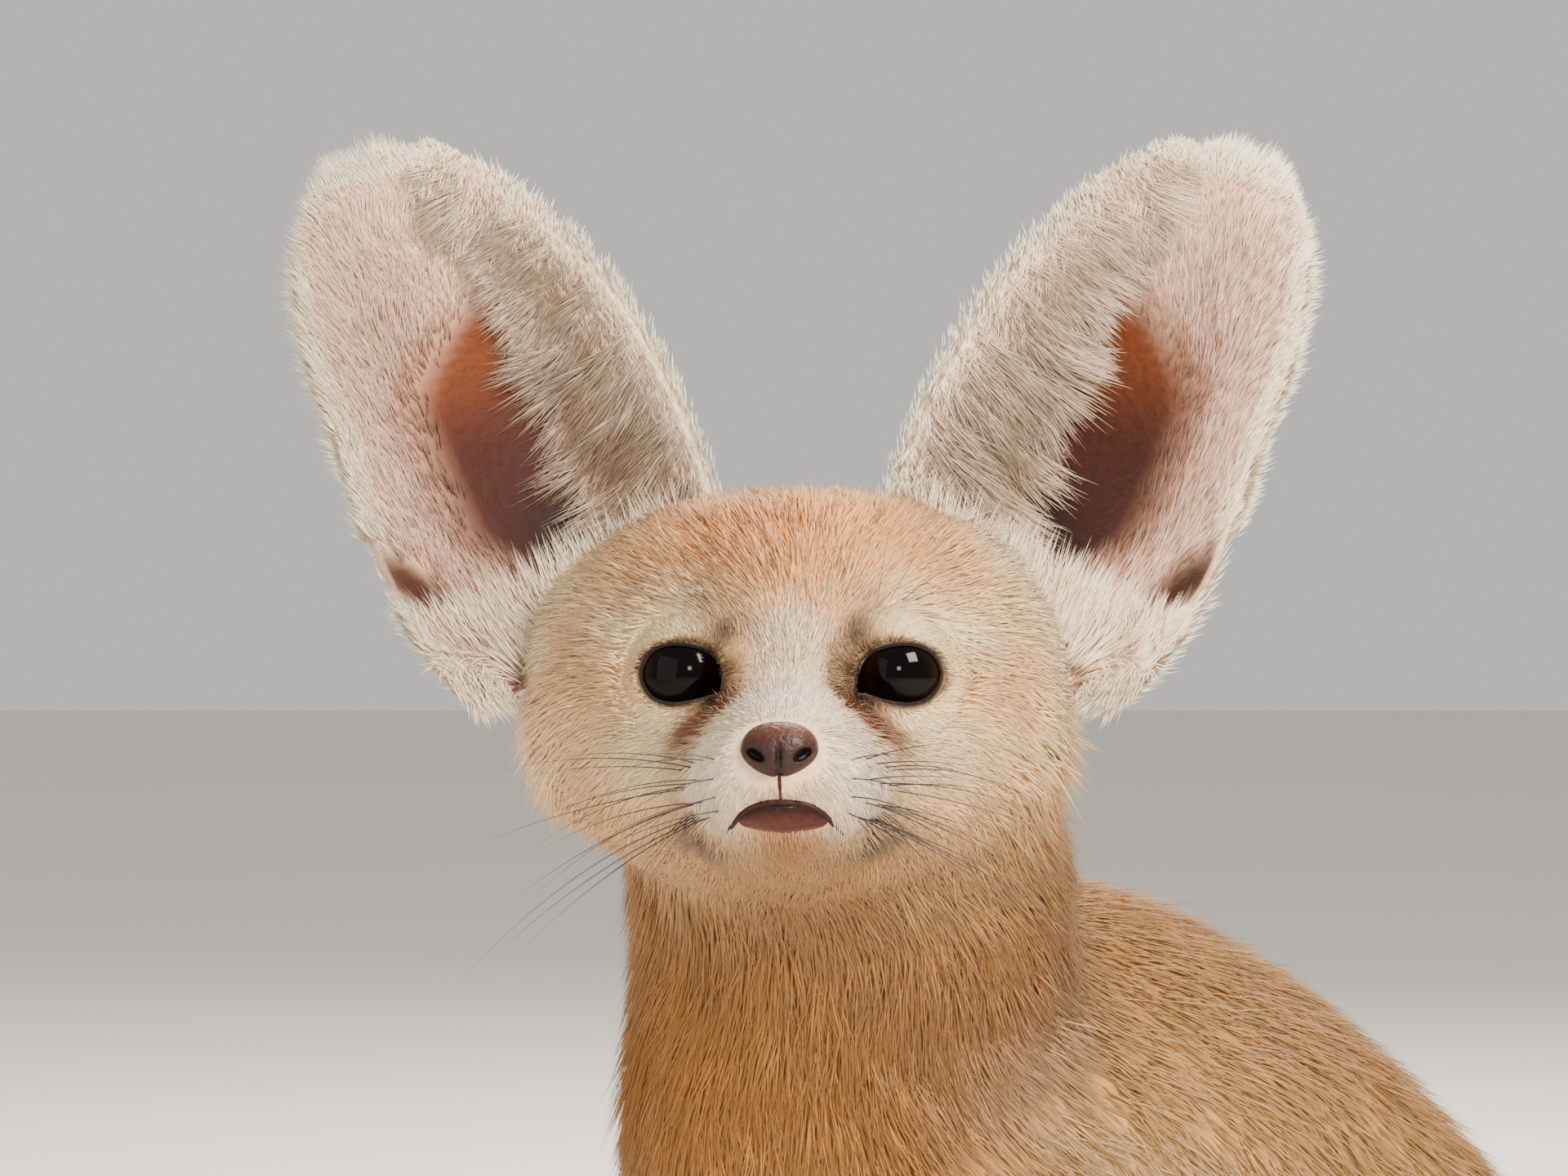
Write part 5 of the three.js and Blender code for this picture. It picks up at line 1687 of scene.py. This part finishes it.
@dataclass
class Eye:
    """Eyeball, its lids and the dark rims round the opening."""

    side: str
    body: Body
    radius: float = 6.3
    # Outline of the opening, outer end first, as [out from the nose, up]
    outline: tuple = (
        (4.7, 0.1), (4.1, 1.8), (2.7, 3.0), (0.6, 3.5), (-2.0, 3.2), (-4.2, 2.1), (-5.3, 0.2), (-5.9, -1.9),
        (-4.4, -2.3), (-2.4, -2.9), (0.4, -3.35), (2.8, -2.9), (4.2, -1.5))
    outer: tuple = (8.7, 8.2)  # half sizes of the lids' outer edge
    thick: float = 0.6  # of a lid over the ball
    margin: float = 0.25  # height of a lid's edge over the ball
    film: float = 0.04  # gap between a lid's inner face and the ball
    reach: float = 12.0  # half width of the map of the face's depth round the eye
    map_count: int = 49
    probe: tuple = (-16, 8, 97)  # from, to and count of the depths tried for the map
    clear: tuple = (7.1, 4.0)  # radius and depth within which the face has no hair of its own
    parting: tuple = (13, 8.5)  # distances from the gaze between which hair is turned aside
    ball_counts: tuple = (48, 64)
    lid_counts: tuple = (14, 96)
    hair_count: int = 6000
    iris: tuple = (44, 9)  # degrees from the gaze of its brown ring, and the ring's reach
    tones: tuple = ("050303", "1a0c05", "040202")  # ball, iris and poles

    def __post_init__(self) -> None:
        """Works out the eye's frame, and the face round it that the lids join."""
        self.sign = SIDES[self.side]
        self.pose = eye_pose(self.sign)
        self.depths = self.face_map()

    def ball(self) -> Piece:
        """Sphere with its pole towards the gaze: a brown ring for the iris, and the rest near black.

        Returns:
            The eyeball.
        """
        rows, around = self.ball_counts
        polar = np.pi * (np.arange(rows) + 0.5) / rows
        p, t = np.meshgrid(polar, circle(around), indexing="ij")
        rings = self.radius * np.stack([np.sin(p) * np.cos(t), -np.cos(p), np.sin(p) * np.sin(t)], -1)
        points, faces = stitched(self.pose.out(rings), self.pose.out(np.array([0, -self.radius, 0.0])),
                                 self.pose.out(np.array([0, self.radius, 0.0])))
        dark, brown, pole = (tint(code) for code in self.tones)
        ring = np.exp(-((np.degrees(p) - self.iris[0]) / self.iris[1]) ** 2)[..., None]
        tones = np.vstack([pole[None], mixed(dark, brown, ring).reshape(-1, 3), pole[None]])
        return put_mesh("eyeball_" + self.side, points, faces, tones)

    def opening(self, turn: Array) -> Array:
        """Outline of the opening in the eye's plane, a smooth closed curve, at angles along it.

        Args:
            turn: the angles.
        Returns:
            [across, up] of each.
        """
        loop = np.array(self.outline) * [self.sign, 1]
        count = len(loop)
        k = (turn / (2 * np.pi) * count) % count
        i = np.floor(k).astype(int)
        f = (k - i)[..., None]
        return between(*(loop[(i + step) % count] for step in (-1, 0, 1, 2)), f)

    def depth_on(self, flat: Array, radius: float) -> Array:
        """How far forward a ball of that radius reaches over each place of the eye's plane."""
        return -np.sqrt(np.maximum(radius ** 2 - (flat ** 2).sum(-1), 1.0))

    def face_map(self) -> Array:
        """Depth of the face, as if it had no opening, met from in front over a grid in the eye's plane.

        Returns:
            Depth over a square grid.
        """
        axis = np.linspace(-self.reach, self.reach, self.map_count)
        x, z = (v.ravel() for v in np.meshgrid(axis, axis, indexing="ij"))
        steps = np.linspace(*self.probe)
        count = len(steps)
        p = self.pose.out(np.stack([np.tile(x, count), np.repeat(steps, len(x)), np.tile(z, count)], -1))
        inside = self.body.volume.read(self.body.closed, p).reshape(count, -1)
        first = np.clip(np.argmax(inside < 0, axis=0), 1, count - 1)
        place = np.arange(len(x))
        near, far = inside[first - 1, place], inside[first, place]
        share = np.clip(near / np.maximum(near - far, 1e-6), 0, 1)
        return (steps[first - 1] + share * (steps[1] - steps[0])).reshape(self.map_count, -1)

    def face_depth(self, flat: Array) -> Array:
        """Depth of the face at places of the eye's plane, between the map's four nearest.

        Args:
            flat: [across, up] of each place.
        Returns:
            The depths.
        """
        last = self.map_count - 1
        g = np.clip((flat / self.reach + 1) * last / 2, 0, last - 1e-3)
        i = g.astype(int)
        f = g - i
        d, a, b = self.depths, i[..., 0], i[..., 1]
        low = mixed(d[a, b], d[a + 1, b], f[..., 0])
        return mixed(low, mixed(d[a, b + 1], d[a + 1, b + 1], f[..., 0]), f[..., 1])

    def lid_surface(self, s: Array, turn: Array) -> Array:
        """Point of the lids in the eye's frame, for s from 0 at the opening to 1 at their outer edge.

        The lids are the smooth union of a shell over the ball and the face. Their margin lies on the ball,
        and their outer edge just under the face.

        Args:
            s: shares of the way out.
            turn: angles along the opening.
        Returns:
            The points.
        """
        inner = self.opening(turn)
        angle = np.arctan2(inner[..., 1], inner[..., 0])
        outer = np.stack([self.outer[0] * np.cos(angle), self.outer[1] * np.sin(angle)], -1)
        flat = mixed(inner, outer, s[..., None])
        nasal = ramp(1.0, -3.0, inner[..., 0] * self.sign)
        face = self.face_depth(flat) - mixed(0.06, 0.22, nasal)
        over = melted(self.depth_on(flat, self.radius + self.thick), face, 1.6)
        y = mixed(self.depth_on(flat, self.radius + self.margin), over, ramp(0, 0.22, s))
        y = y + 0.7 * ramp(mixed(0.6, 0.82, nasal), 1.0, s)
        return np.stack([flat[..., 0], y, flat[..., 1]], -1)

    def covers(self, points: Array) -> Array:
        """Which stage points lie in the opening of the skin for the eye."""
        p = self.pose.into(points)
        return (np.hypot(p[:, 0], p[:, 2]) < self.clear[0]) & (p[:, 1] < self.clear[1])

    def parted(self, roots: Roots) -> Roots:
        """The roots with those that would fall over the opening turned to run round it.

        Args:
            roots: of the face.
        Returns:
            The same roots.
        """
        p = self.pose.into(roots.at)
        away = np.hypot(p[:, 0], p[:, 2])
        radial = np.stack([p[:, 0], 0 * away, p[:, 2]], -1) / away[:, None] @ self.pose.turn.T
        inward = np.maximum(0, -dot(roots.lie, radial))
        near = (ramp(*self.parting, away) * (p[:, 1] < 0))[:, None]
        lie = roots.lie + radial * inward * 1.2 * near
        roots.lie = unit(lie - roots.out * dot(lie, roots.out))
        return roots

    def lids(self) -> Piece:
        """Closed band: wet margin, front of the lids out to the skin, and back under it to the margin.

        Returns:
            The lids.
        """
        rows, around = self.lid_counts
        turn = circle(around)
        s, t = np.meshgrid(np.linspace(0, 1, rows), turn, indexing="ij")
        front = self.lid_surface(s, t)
        margin = front[:1] * [1, 0, 1]
        margin[..., 1] = self.depth_on(margin[..., ::2], self.radius + self.film)
        under = front[-1:] + [0, 1.5, 0]
        inner = front[3:4] * [1, 0, 1]
        inner[..., 1] = self.depth_on(inner[..., ::2], self.radius + self.film)
        rings = np.concatenate([margin, front, under, inner])
        count = len(rings)
        r, i = np.meshgrid(np.arange(count), np.arange(around), indexing="ij")
        r2, i2 = (r + 1) % count, (i + 1) % around
        quads = np.stack([r * around + i, r * around + i2, r2 * around + i2, r2 * around + i], -1)
        quads = quads.reshape(-1, 4)
        points = self.pose.out(rings.reshape(-1, 3))
        # the lids' skin darkened by the same painted shade
        tone = MARKINGS.on_head(points).reshape(count, around, 3) * HEAD_SKIN_PAINTED_SHADE
        dark = np.r_[1.0, ramp(0.34, 0.08, np.linspace(0, 1, rows)), 0, 0][:, None, None]
        tone = mixed(tone, Tone.DARK.linear() * 0.5, dark)
        return put_mesh("lids_" + self.side, points, outward(points, quads), tone.reshape(-1, 3))

    def coat(self, seed: int) -> Roots:
        """Fine hair over the lids, lying away from the opening.

        Args:
            seed: of the random draw.
        Returns:
            The roots.
        """
        draw = np.random.default_rng(seed)
        count = self.hair_count
        s, t = draw.uniform(0.02, 1.0, count) ** 0.9, draw.uniform(0, 2 * np.pi, count)
        at = self.lid_surface(s, t)
        step = 0.03
        ds = self.lid_surface(np.minimum(s + step, 1), t) - self.lid_surface(np.maximum(s - step, 0), t)
        dt = self.lid_surface(s, t + step) - self.lid_surface(s, t - step)
        out = unit(np.cross(ds, dt))
        out = np.where(out[:, 1:2] > 0, -out, out)
        at, out = self.pose.out(at), out @ self.pose.turn.T
        shares = self.body.shares_at(at)
        lie, away = self.body.lie_at(at, out, shares), unit(ds) @ self.pose.turn.T
        lie = lie + away * (0.45 + 1.4 * np.maximum(0, -dot(lie, away)))
        lie = unit(lie - out * dot(lie, out))
        lie = spun(lie, out, draw.normal(0, 0.15, count))
        tone = MARKINGS.on_head(at) * (1 + draw.normal(0, 0.1, count))[:, None]
        wide = 0.20 + 0.20 * ramp(1, -4, self.opening(t)[:, 0] * self.sign)
        tone = mixed(Tone.CORNER.linear(), tone, ramp(0.05, wide, s)[:, None])
        length = draw.uniform(2.2, 4.0, count) * (0.32 + 0.68 * s)
        width, lift = draw.uniform(0.14, 0.21, count), draw.uniform(0.18, 0.36, count)
        # the tips lighter, as painted light
        return Roots(at, out, lie, length, width, lift, np.full(count, 0.1), tone,
                     np.minimum(tone * 1.15, 0.95), self.body.unwrap_at(at, shares))


# Nose and mouth

@dataclass
class Nose:
    """Nose pad: a rounded block drawn narrower towards the lip, with nostrils and a groove."""

    at: tuple = (-0.4, -36.6, -10.3)
    size: tuple = (4.6, 3.6, 3.45)  # half sizes
    powers: tuple = (2.25, 2.2)
    narrower: float = 0.34
    nostril: tuple = (2.75, -0.75)
    dents: tuple = (1.5, 0.6)  # depth of the nostrils and of the groove
    counts: tuple = (72, 96)
    room: float = 0.2  # between the pad and the nearest hair
    tones: tuple = ("260f0a", "060202", "5f3628")  # pad, painted shade of the nostrils and groove, and painted highlight on the top

    def covers(self, points: Array) -> Array:
        """Which stage points lie under the pad, where no hair grows."""
        size = np.array(self.size) + self.room
        return np.linalg.norm((HEAD.into(points) - self.at) / size, axis=1) <= 1.0

    def pad(self) -> Piece:
        """The pad's mesh; dents fall off as exp(-(distance / reach)^2). Nostrils and groove are painted dark
        as shade, and the top lighter as a painted highlight.

        Returns:
            The pad.
        """
        rows, around = self.counts
        polar = np.pi * (np.arange(rows) + 0.5) / rows
        p, t = np.meshgrid(polar, circle(around), indexing="ij")
        ball = np.stack([np.sin(p) * np.cos(t), -np.cos(p), np.sin(p) * np.sin(t)], -1)
        x, y, z = np.moveaxis(ball, -1, 0)
        narrow = 1 - self.narrower * np.maximum(0, -z) ** 1.5
        px = np.sign(x) * np.abs(x) ** (2 / self.powers[0]) * self.size[0] * narrow
        pz = np.sign(z) * np.abs(z) ** (2 / self.powers[1]) * self.size[2]
        py = y * self.size[1]
        side = np.abs(px)
        slanted = (pz - self.nostril[1] - 0.5 * (side - 2.7)) / 0.62
        hole = np.exp(-((side - self.nostril[0]) ** 2 + slanted ** 2) ** 2) * (y < 0.2)
        groove = np.exp(-(px / 0.35) ** 2) * ramp(0.9, -0.6, pz) * (y < 0)
        py = py + self.dents[0] * hole + self.dents[1] * groove
        rings = np.array(self.at) + np.stack([px, py, pz], -1)
        points, faces = stitched(HEAD.out(rings))
        plain, dark, top = (tint(code) for code in self.tones)
        # painted shade in the nostrils and the groove
        tone = mixed(plain, dark, np.clip(hole * 1.2 + groove * 0.5, 0, 1)[..., None])
        # painted highlight across the pad's top
        tone = mixed(tone, top, (0.6 * np.exp(-((pz - 2.4) / 1.3) ** 2))[..., None]).reshape(-1, 3)
        return put_mesh("nose_pad", points, faces, np.vstack([tone[:1], tone, tone[-1:]]))


def tube(line: Array, radii: Array, around: int = 8) -> Pair:
    """Closed tube along a line, round, with its own radius at each point.

    Args:
        line: its middle.
        radii: one at each point.
        around: corners of a ring.
    Returns:
        Points and triangles.
    """
    along = unit(np.gradient(line, axis=0))
    side = unit(np.cross(along, [0.3, 0.2, 1.0]))
    top = np.cross(side, along)
    a = circle(around)[None, :, None]
    spokes = side[:, None] * np.cos(a) + top[:, None] * np.sin(a)
    return stitched(line[:, None] + spokes * radii[:, None, None])


def pooled(meshes: list) -> Pair:
    """Several meshes as one pair of arrays.

    Args:
        meshes: pairs of points and faces.
    Returns:
        Points and faces.
    """
    points, faces, start = [], [], 0
    for p, f in meshes:
        points.append(p)
        faces.append(f + start)
        start += len(p)
    return np.vstack(points), np.vstack(faces)


@dataclass
class Mouth:
    """Line of the mouth, the moist lower lip and the groove under the nose."""

    body: Body
    # Places on the head along the mouth's line, from its left corner to the middle
    half: tuple = ((7.0, -31.8, -19.6), (5.9, -34.2, -18.7), (4.7, -35.9, -17.5), (2.7, -37.0, -16.7))
    middle: tuple = (-0.2, -37.2, -16.4)
    groove: tuple = ((-0.4, -38.9, -13.4), (-0.2, -37.4, -16.4))
    lip_drop: float = 3.6  # height of the lower lip at its middle
    lip_span: tuple = (0.19, 0.81)  # shares of the mouth's line that the lower lip runs between
    line_count: int = 60
    lip_counts: tuple = (20, 60)
    tones: tuple = ("1c0605", "4a241b", "6e4230")  # of the lower lip, from the line down
    edge_tone: str = "2a1410"
    bare_half: float = 5.2  # half width of the lip's hairless part

    def onto(self, points: Array) -> Array:
        """Stage points moved onto the skin along its slope.

        Args:
            points: near the skin.
        Returns:
            Points on it.
        """
        for _ in range(5):
            off = self.body.volume.read(self.body.whole, points)[:, None]
            points = points - self.body.out_at(points) * off * 0.8
        return points

    def line(self, shares: Array, drop: Array | float) -> Array:
        """Places along the mouth from corner to corner, lowered, on the skin.

        Args:
            shares: of the way.
            drop: millimetres down.
        Returns:
            Stage points.
        """
        half = np.array(self.half)
        ends = np.vstack([half, self.middle, half[::-1] * [-1, 1, 1]])
        low = np.stack([0 * shares, 0.7 * drop, -1.0 * drop], -1)
        return self.onto(HEAD.out(spline(ends, shares) + low))

    def upper(self) -> Piece:
        """Dark edge of the upper lip, with the groove under the nose.

        Returns:
            The lip line.
        """
        t = np.linspace(0, 1, self.line_count)
        taper = np.sin(np.pi * np.clip(t, 0.02, 0.98)) ** 0.5
        edge = tube(self.line(t, 0.0 * t), 0.34 * taper + 0.05)
        groove = self.onto(HEAD.out(np.linspace(*self.groove, 12)))
        points, faces = pooled([edge, tube(groove, np.full(12, 0.2))])
        return put_mesh("lip_line", points, faces, tint(self.edge_tone))

    def lower(self) -> Piece:
        """The lower lip: a thin closed pillow under the line, tallest at its middle.

        Returns:
            The lower lip.
        """
        rows, columns = self.lip_counts
        a, b = np.meshgrid(np.linspace(0, 1, columns), np.linspace(0, 1, rows), indexing="ij")
        bow = np.maximum(0, 1 - (2 * a - 1) ** 2) ** 0.75
        face = self.line(mixed(*self.lip_span, a.ravel()), (self.lip_drop * b * bow).ravel())
        out = self.body.out_at(face)
        swell = (0.6 * np.sin(np.pi * b) ** 0.6 * (1 - 0.6 * b) * bow + 0.02).ravel()[:, None]
        rings = np.concatenate([(face + out * swell).reshape(columns, rows, 3),
                                (face - out * 0.5).reshape(columns, rows, 3)[:, ::-1]], axis=1)
        points, faces = stitched(rings)
        inner, wet, edge = (tint(code) for code in self.tones)
        tone = mixed(mixed(inner, wet, ramp(0.05, 0.6, b)[..., None]), edge, ramp(0.75, 1.0, b)[..., None])
        tone = np.concatenate([tone, tone[:, ::-1]], axis=1).reshape(-1, 3)
        return put_mesh("lower_lip", points, faces, np.vstack([tone[:1], tone, tone[-1:]]))

    def above(self, points: Array) -> Pair:
        """How far stage points lie across the mouth, 1 at its corners, and how high over its line.

        Args:
            points: on the stage.
        Returns:
            Across and high.
        """
        p = HEAD.into(points)
        across = (p[:, 0] - self.middle[0]) / self.bare_half
        high = p[:, 2] + 16.5 + 1.75 * across ** 2
        return across, np.where(p[:, 1] < -28, high, 99.0)

    def bare(self, points: Array) -> Array:
        """Which stage points lie on the lower lip, where no hair grows."""
        across, high = self.above(points)
        return (np.abs(across) < 1) & (high < 0.3) & (high > -2.1 * np.maximum(0, 1 - across ** 2) ** 0.6)

    def trimmed(self, roots: Roots) -> Roots:
        """The roots with the hair over the mouth cut so that it ends at the lip's edge.

        Args:
            roots: of the face.
        Returns:
            The same roots.
        """
        across, high = self.above(roots.at)
        over = (np.abs(across) < 1.1) & (high > 0) & (high < 3)
        roots.length = np.where(over, np.minimum(roots.length, 0.25 + 0.7 * high), roots.length)
        return roots


# Whiskers and claws

@dataclass
class Whiskers:
    """Long dark hairs of the muzzle and brows, tapered to their tips."""

    body: Body
    pads: tuple = (4, 5)  # rows on each side of the muzzle, and hairs in a row
    corner: int = 9  # down-pointing hairs by each corner of the mouth
    brow: int = 4
    radii: tuple = (0.08, 0.055, 0.05)  # of those three kinds, at the root
    thinnest: float = 0.012
    tone: str = "1c120c"

    def hair(self, sign: int, root: Array, way: Array, length: float, radius: float, sag: float) -> tuple:
        """One hair from the skin: root + way * length * s - up * sag * s^2, thinning as 1 - s^1.5.

        Args:
            sign: side of the head.
            root: place near the skin, in the head's frame, on its left.
            way: direction there.
            length: millimetres.
            radius: at the root.
            sag: how far the tip hangs below a straight hair's.
        Returns:
            Points and triangles.
        """
        p = HEAD.out(root * [sign, 1, 1])[None]
        for _ in range(4):
            p = p - self.body.out_at(p) * self.body.volume.read(self.body.whole, p)[:, None]
        start = p[0] - self.body.out_at(p)[0] * 0.4
        s = np.linspace(0, 1, 11)
        way = (way * [sign, 1, 1]) @ HEAD.turn.T
        line = start + way * (length * s)[:, None] - np.outer(s ** 2, [0, 0, sag])
        return tube(line, np.maximum(radius * (1 - s ** 1.5), self.thinnest), 4)

    def made(self, seed: int) -> Piece:
        """All the hairs as one mesh, on both sides of the head.

        Args:
            seed: of the random draw.
        Returns:
            The whiskers.
        """
        draw = np.random.default_rng(seed)
        meshes = []
        for sign in SIDES.values():
            for row in range(self.pads[0]):
                for k in range(self.pads[1]):
                    root = np.array([7.0 + 0.9 * k, -35.0 + 2.0 * k, -11.5 - 1.9 * row])
                    way = unit(np.array([1.0, -0.35 + 0.15 * k, 0.22 - 0.2 * row + draw.normal(0, 0.08)]))
                    length = (12 + 3.4 * k + 1.5 * row) * draw.uniform(0.75, 1.15)
                    sag = length * draw.uniform(0.12, 0.4)
                    meshes.append(self.hair(sign, root, way, length, self.radii[0], sag))
            for k in range(self.corner):
                root = np.array([7.8 + 0.45 * k, -32.0 + 0.9 * k, -17.0 + 0.15 * k])
                way = unit(np.array([0.55 + 0.05 * k, -0.45, -0.55]))
                length = 8 + draw.uniform(0, 5)
                meshes.append(self.hair(sign, root, way, length, self.radii[1], draw.uniform(3, 6)))
            for k in range(self.brow):
                root = np.array([11.0 + 1.4 * k, -19.0 + 0.8 * k, 11.0 + 0.3 * k])
                way = unit(np.array([0.15 + 0.30 * k, -0.35, 1.0 - 0.2 * k]))
                length = draw.uniform(9, 15)
                meshes.append(self.hair(sign, root, way, length, self.radii[2], draw.uniform(1, 4)))
        points, faces = pooled(meshes)
        return put_mesh("whiskers", points, faces, tint(self.tone))


@dataclass
class Claws:
    """A curved tapering claw at each toe's end."""

    start: tuple = (0.6, 0.9)  # ahead of the toe's end, and above it
    long: float = 4.4
    arch: float = 0.9
    drop: float = 1.9
    radius: float = 0.85
    floor: float = 0.1
    tone: str = "4a3628"

    def made(self) -> Piece:
        """All the claws as one mesh, each rising by arch * sin(0.6 pi s) - drop * s^2 along it.

        Returns:
            The claws.
        """
        meshes = []
        s = np.linspace(0, 1, 9)
        rise = self.arch * np.sin(np.pi * s * 0.6) - self.drop * s ** 2
        for axes, front in ((FORE, FORE_FRONT), (HIND, HIND_FRONT)):
            for sign in SIDES.values():
                aim = -Body.back_of(axes)
                for rows in TOES.rows(front):
                    tip = axes.placed([rows[-1]], sign)[0, :3]
                    line = (tip + [0, 0, self.start[1]] + aim * (self.start[0] + self.long * s)[:, None]
                            + np.outer(rise, [0, 0, 1]))
                    meshes.append(tube(line, self.radius * (1 - s ** 1.6) + 0.06, 8))
        points, faces = pooled(meshes)
        points[:, 2] = np.maximum(points[:, 2], self.floor)
        return put_mesh("claws", points, faces, tint(self.tone))


# Studio

@dataclass
class Studio:
    """Camera of the photograph, pale floor and soft light."""

    eye: tuple = (-1.0, -562.0, 180.5)  # stage millimetres, as the aim is
    aim: tuple = (0, 20, 150.0)
    lens: float = 103.1
    sensor: float = 36.0
    clip: tuple = (0.01, 50)
    floor_half: float = 6.0  # metres
    floor_drop: float = 0.05  # millimetres under the soles
    floor_tone: str = "e9e6e0"
    # [name, place in metres, watts, side in metres, colour]
    lamps: tuple = (
        ("key", (0.55, -0.75, 0.85), 36, 0.4, (1.0, 0.94, 0.84)),
        ("fill", (-0.8, -0.7, 0.35), 4, 0.9, (1.0, 0.97, 0.93)),
        ("catchlight", (0.0, -0.72, 0.33), 1.3, 0.09, (1.0, 0.96, 0.9)),
        ("rim", (0.15, 0.75, 0.85), 20, 0.5, (1.0, 0.94, 0.84)))
    sky: tuple = (0.92, 0.885, 0.84, 1)
    sky_strength: float = 0.7

    def camera(self) -> None:
        """Looks level along +Y from the photograph's distance."""
        data = bpy.data.cameras.new("camera")
        data.lens, data.sensor_width = self.lens, self.sensor
        data.clip_start, data.clip_end = self.clip
        made = bpy.data.objects.new("camera", data)
        bpy.context.scene.collection.objects.link(made)
        made.location = Vector(to_frame(np.array(self.eye)))
        made.rotation_euler = (math.radians(90), 0, 0)
        bpy.context.scene.camera = made

    def floor(self) -> None:
        """Plain pale floor under the feet."""
        signs = np.array([[-1, -1, 0], [1, -1, 0], [1, 1, 0], [-1, 1, 0]])
        corners = signs * self.floor_half / MILLIMETRE - SHIFT
        corners[:, 2] = -self.floor_drop
        made = put_mesh("floor", corners, np.array([[0, 1, 2, 3]]), tint(self.floor_tone))
        made.data.materials.append(Finish("floor", roughness=0.8, grain=3, depth=0.02, bump=0.0).made())

    def lamp(self, name: str, at: tuple, power: float, size: float, tone: tuple) -> None:
        """A square soft light aimed at the head.

        Args:
            name: of the lamp.
            at: metres.
            power: watts.
            size: metres.
            tone: linear colour.
        """
        data = bpy.data.lights.new(name, "AREA")
        data.energy, data.size, data.color = power, size, tone
        made = bpy.data.objects.new(name, data)
        bpy.context.scene.collection.objects.link(made)
        made.location = Vector(at)
        target = Vector(to_frame(np.array(self.aim)))
        made.rotation_mode = "QUATERNION"
        made.rotation_quaternion = (target - made.location).to_track_quat("-Z", "Y")

    def lights(self) -> None:
        """The lamps, and an even pale sky."""
        for row in self.lamps:
            self.lamp(*row)
        world = bpy.data.worlds.new("studio")
        bpy.context.scene.world = world
        world.use_nodes = True
        shade = world.node_tree.nodes["Background"]
        shade.inputs["Color"].default_value = self.sky
        shade.inputs["Strength"].default_value = self.sky_strength

    def made(self) -> None:
        """All of it."""
        self.camera()
        self.floor()
        self.lights()


PAIRED = ("ear", "foreleg", "forepaw", "thigh", "hindfoot")
SKIN_NODES = ["head", "neck", "torso", "tail_base", "tail_middle", "tail_tip",
              *[f"{part}_{side}" for part in PAIRED for side in SIDES]]
COAT_COUNTS = {"face": 32500, "crown": 25000, "neck": 33000, "flank_left": 31500, "flank_right": 19500,
               "legs": 18000, "tail": 9000}
BRUSH = Tufts(rings=((0.3, 1.0), (0.68, 0.7)), sink=0.04)
SEEDS = {"lids": 40, "whiskers": 50, "coat": 60, "ears": 70}


def joined_skin(body: Body, ears: dict) -> Piece:
    """The body's skin and the ears' as one closed mesh.

    Args:
        body: the body.
        ears: the ears by side.
    Returns:
        The skin's object.
    """
    skin = body.skin()
    for ear in ears.values():
        shell = ear.skin()
        join = skin.modifiers.new("ear", "BOOLEAN")
        join.operation, join.solver, join.object = "UNION", "MANIFOLD", shell
        bpy.context.view_layer.objects.active = skin
        bpy.ops.object.modifier_apply(modifier=join.name)
        bpy.data.objects.remove(shell)
    skin.data.polygons.foreach_set("use_smooth", np.ones(len(skin.data.polygons), bool))
    return skin


def groomed(face: Roots, nose: Nose, mouth: Mouth, eyes: dict) -> Roots:
    """The face's roots, clear of nose, lips and eyes.

    Args:
        face: all roots of the face.
        nose: under whose pad none grow.
        mouth: over whose line they are cut short.
        eyes: the eyes by side, round which they are parted.
    Returns:
        The roots that are left.
    """
    keep = ~nose.covers(face.at) & ~mouth.bare(face.at)
    for eye in eyes.values():
        keep &= ~eye.covers(face.at)
    face = mouth.trimmed(face.part(keep))
    for eye in eyes.values():
        face = eye.parted(face)
    return face


def main() -> None:
    """Builds the fox, piece by piece."""
    Studio().made()
    hair, skin_finish, eye_finish, lip_finish = (finish.made() for finish in (HAIR, SKIN, EYE, LIP))
    body = Body()
    log.info("body worked out: %d points", len(body.points))
    ears = {side: Ear(side) for side in SIDES}
    eyes = {side: Eye(side, body) for side in SIDES}
    nose, mouth = Nose(), Mouth(body)

    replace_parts(carried(joined_skin(body, ears), skin_finish), *SKIN_NODES)
    for side, eye in eyes.items():
        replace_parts(carried(eye.ball(), eye_finish), "eye_" + side)
        carried(eye.lids(), skin_finish)
    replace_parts(carried(nose.pad(), NOSE.made()), "nose")
    carried(mouth.upper(), lip_finish)
    carried(mouth.lower(), lip_finish)
    carried(Whiskers(body).made(SEEDS["whiskers"]), WHISKER.made())
    carried(Claws().made(), HORN.made())

    roots = body.roots(COAT_COUNTS, SEEDS["coat"])
    roots["face"] = groomed(roots["face"], nose, mouth, eyes)
    for name, group in roots.items():
        blades = BRUSH if name == "tail" else Tufts()
        carried(blades.mesh(name + "_coat", group), hair)
    lid_roots = [eye.coat(SEEDS["lids"] + k) for k, eye in enumerate(eyes.values())]
    carried(Tufts().mesh("lid_coat", Roots.joined(lid_roots)), hair)
    for k, (side, ear) in enumerate(ears.items()):
        coat = ear.coat(SEEDS["ears"] + k)
        carried(Tufts(sink=0.06).mesh("ear_coat_" + side, coat), hair)


if __name__ == "__main__":
    logging.basicConfig(level=logging.INFO, format="%(message)s")
    main()
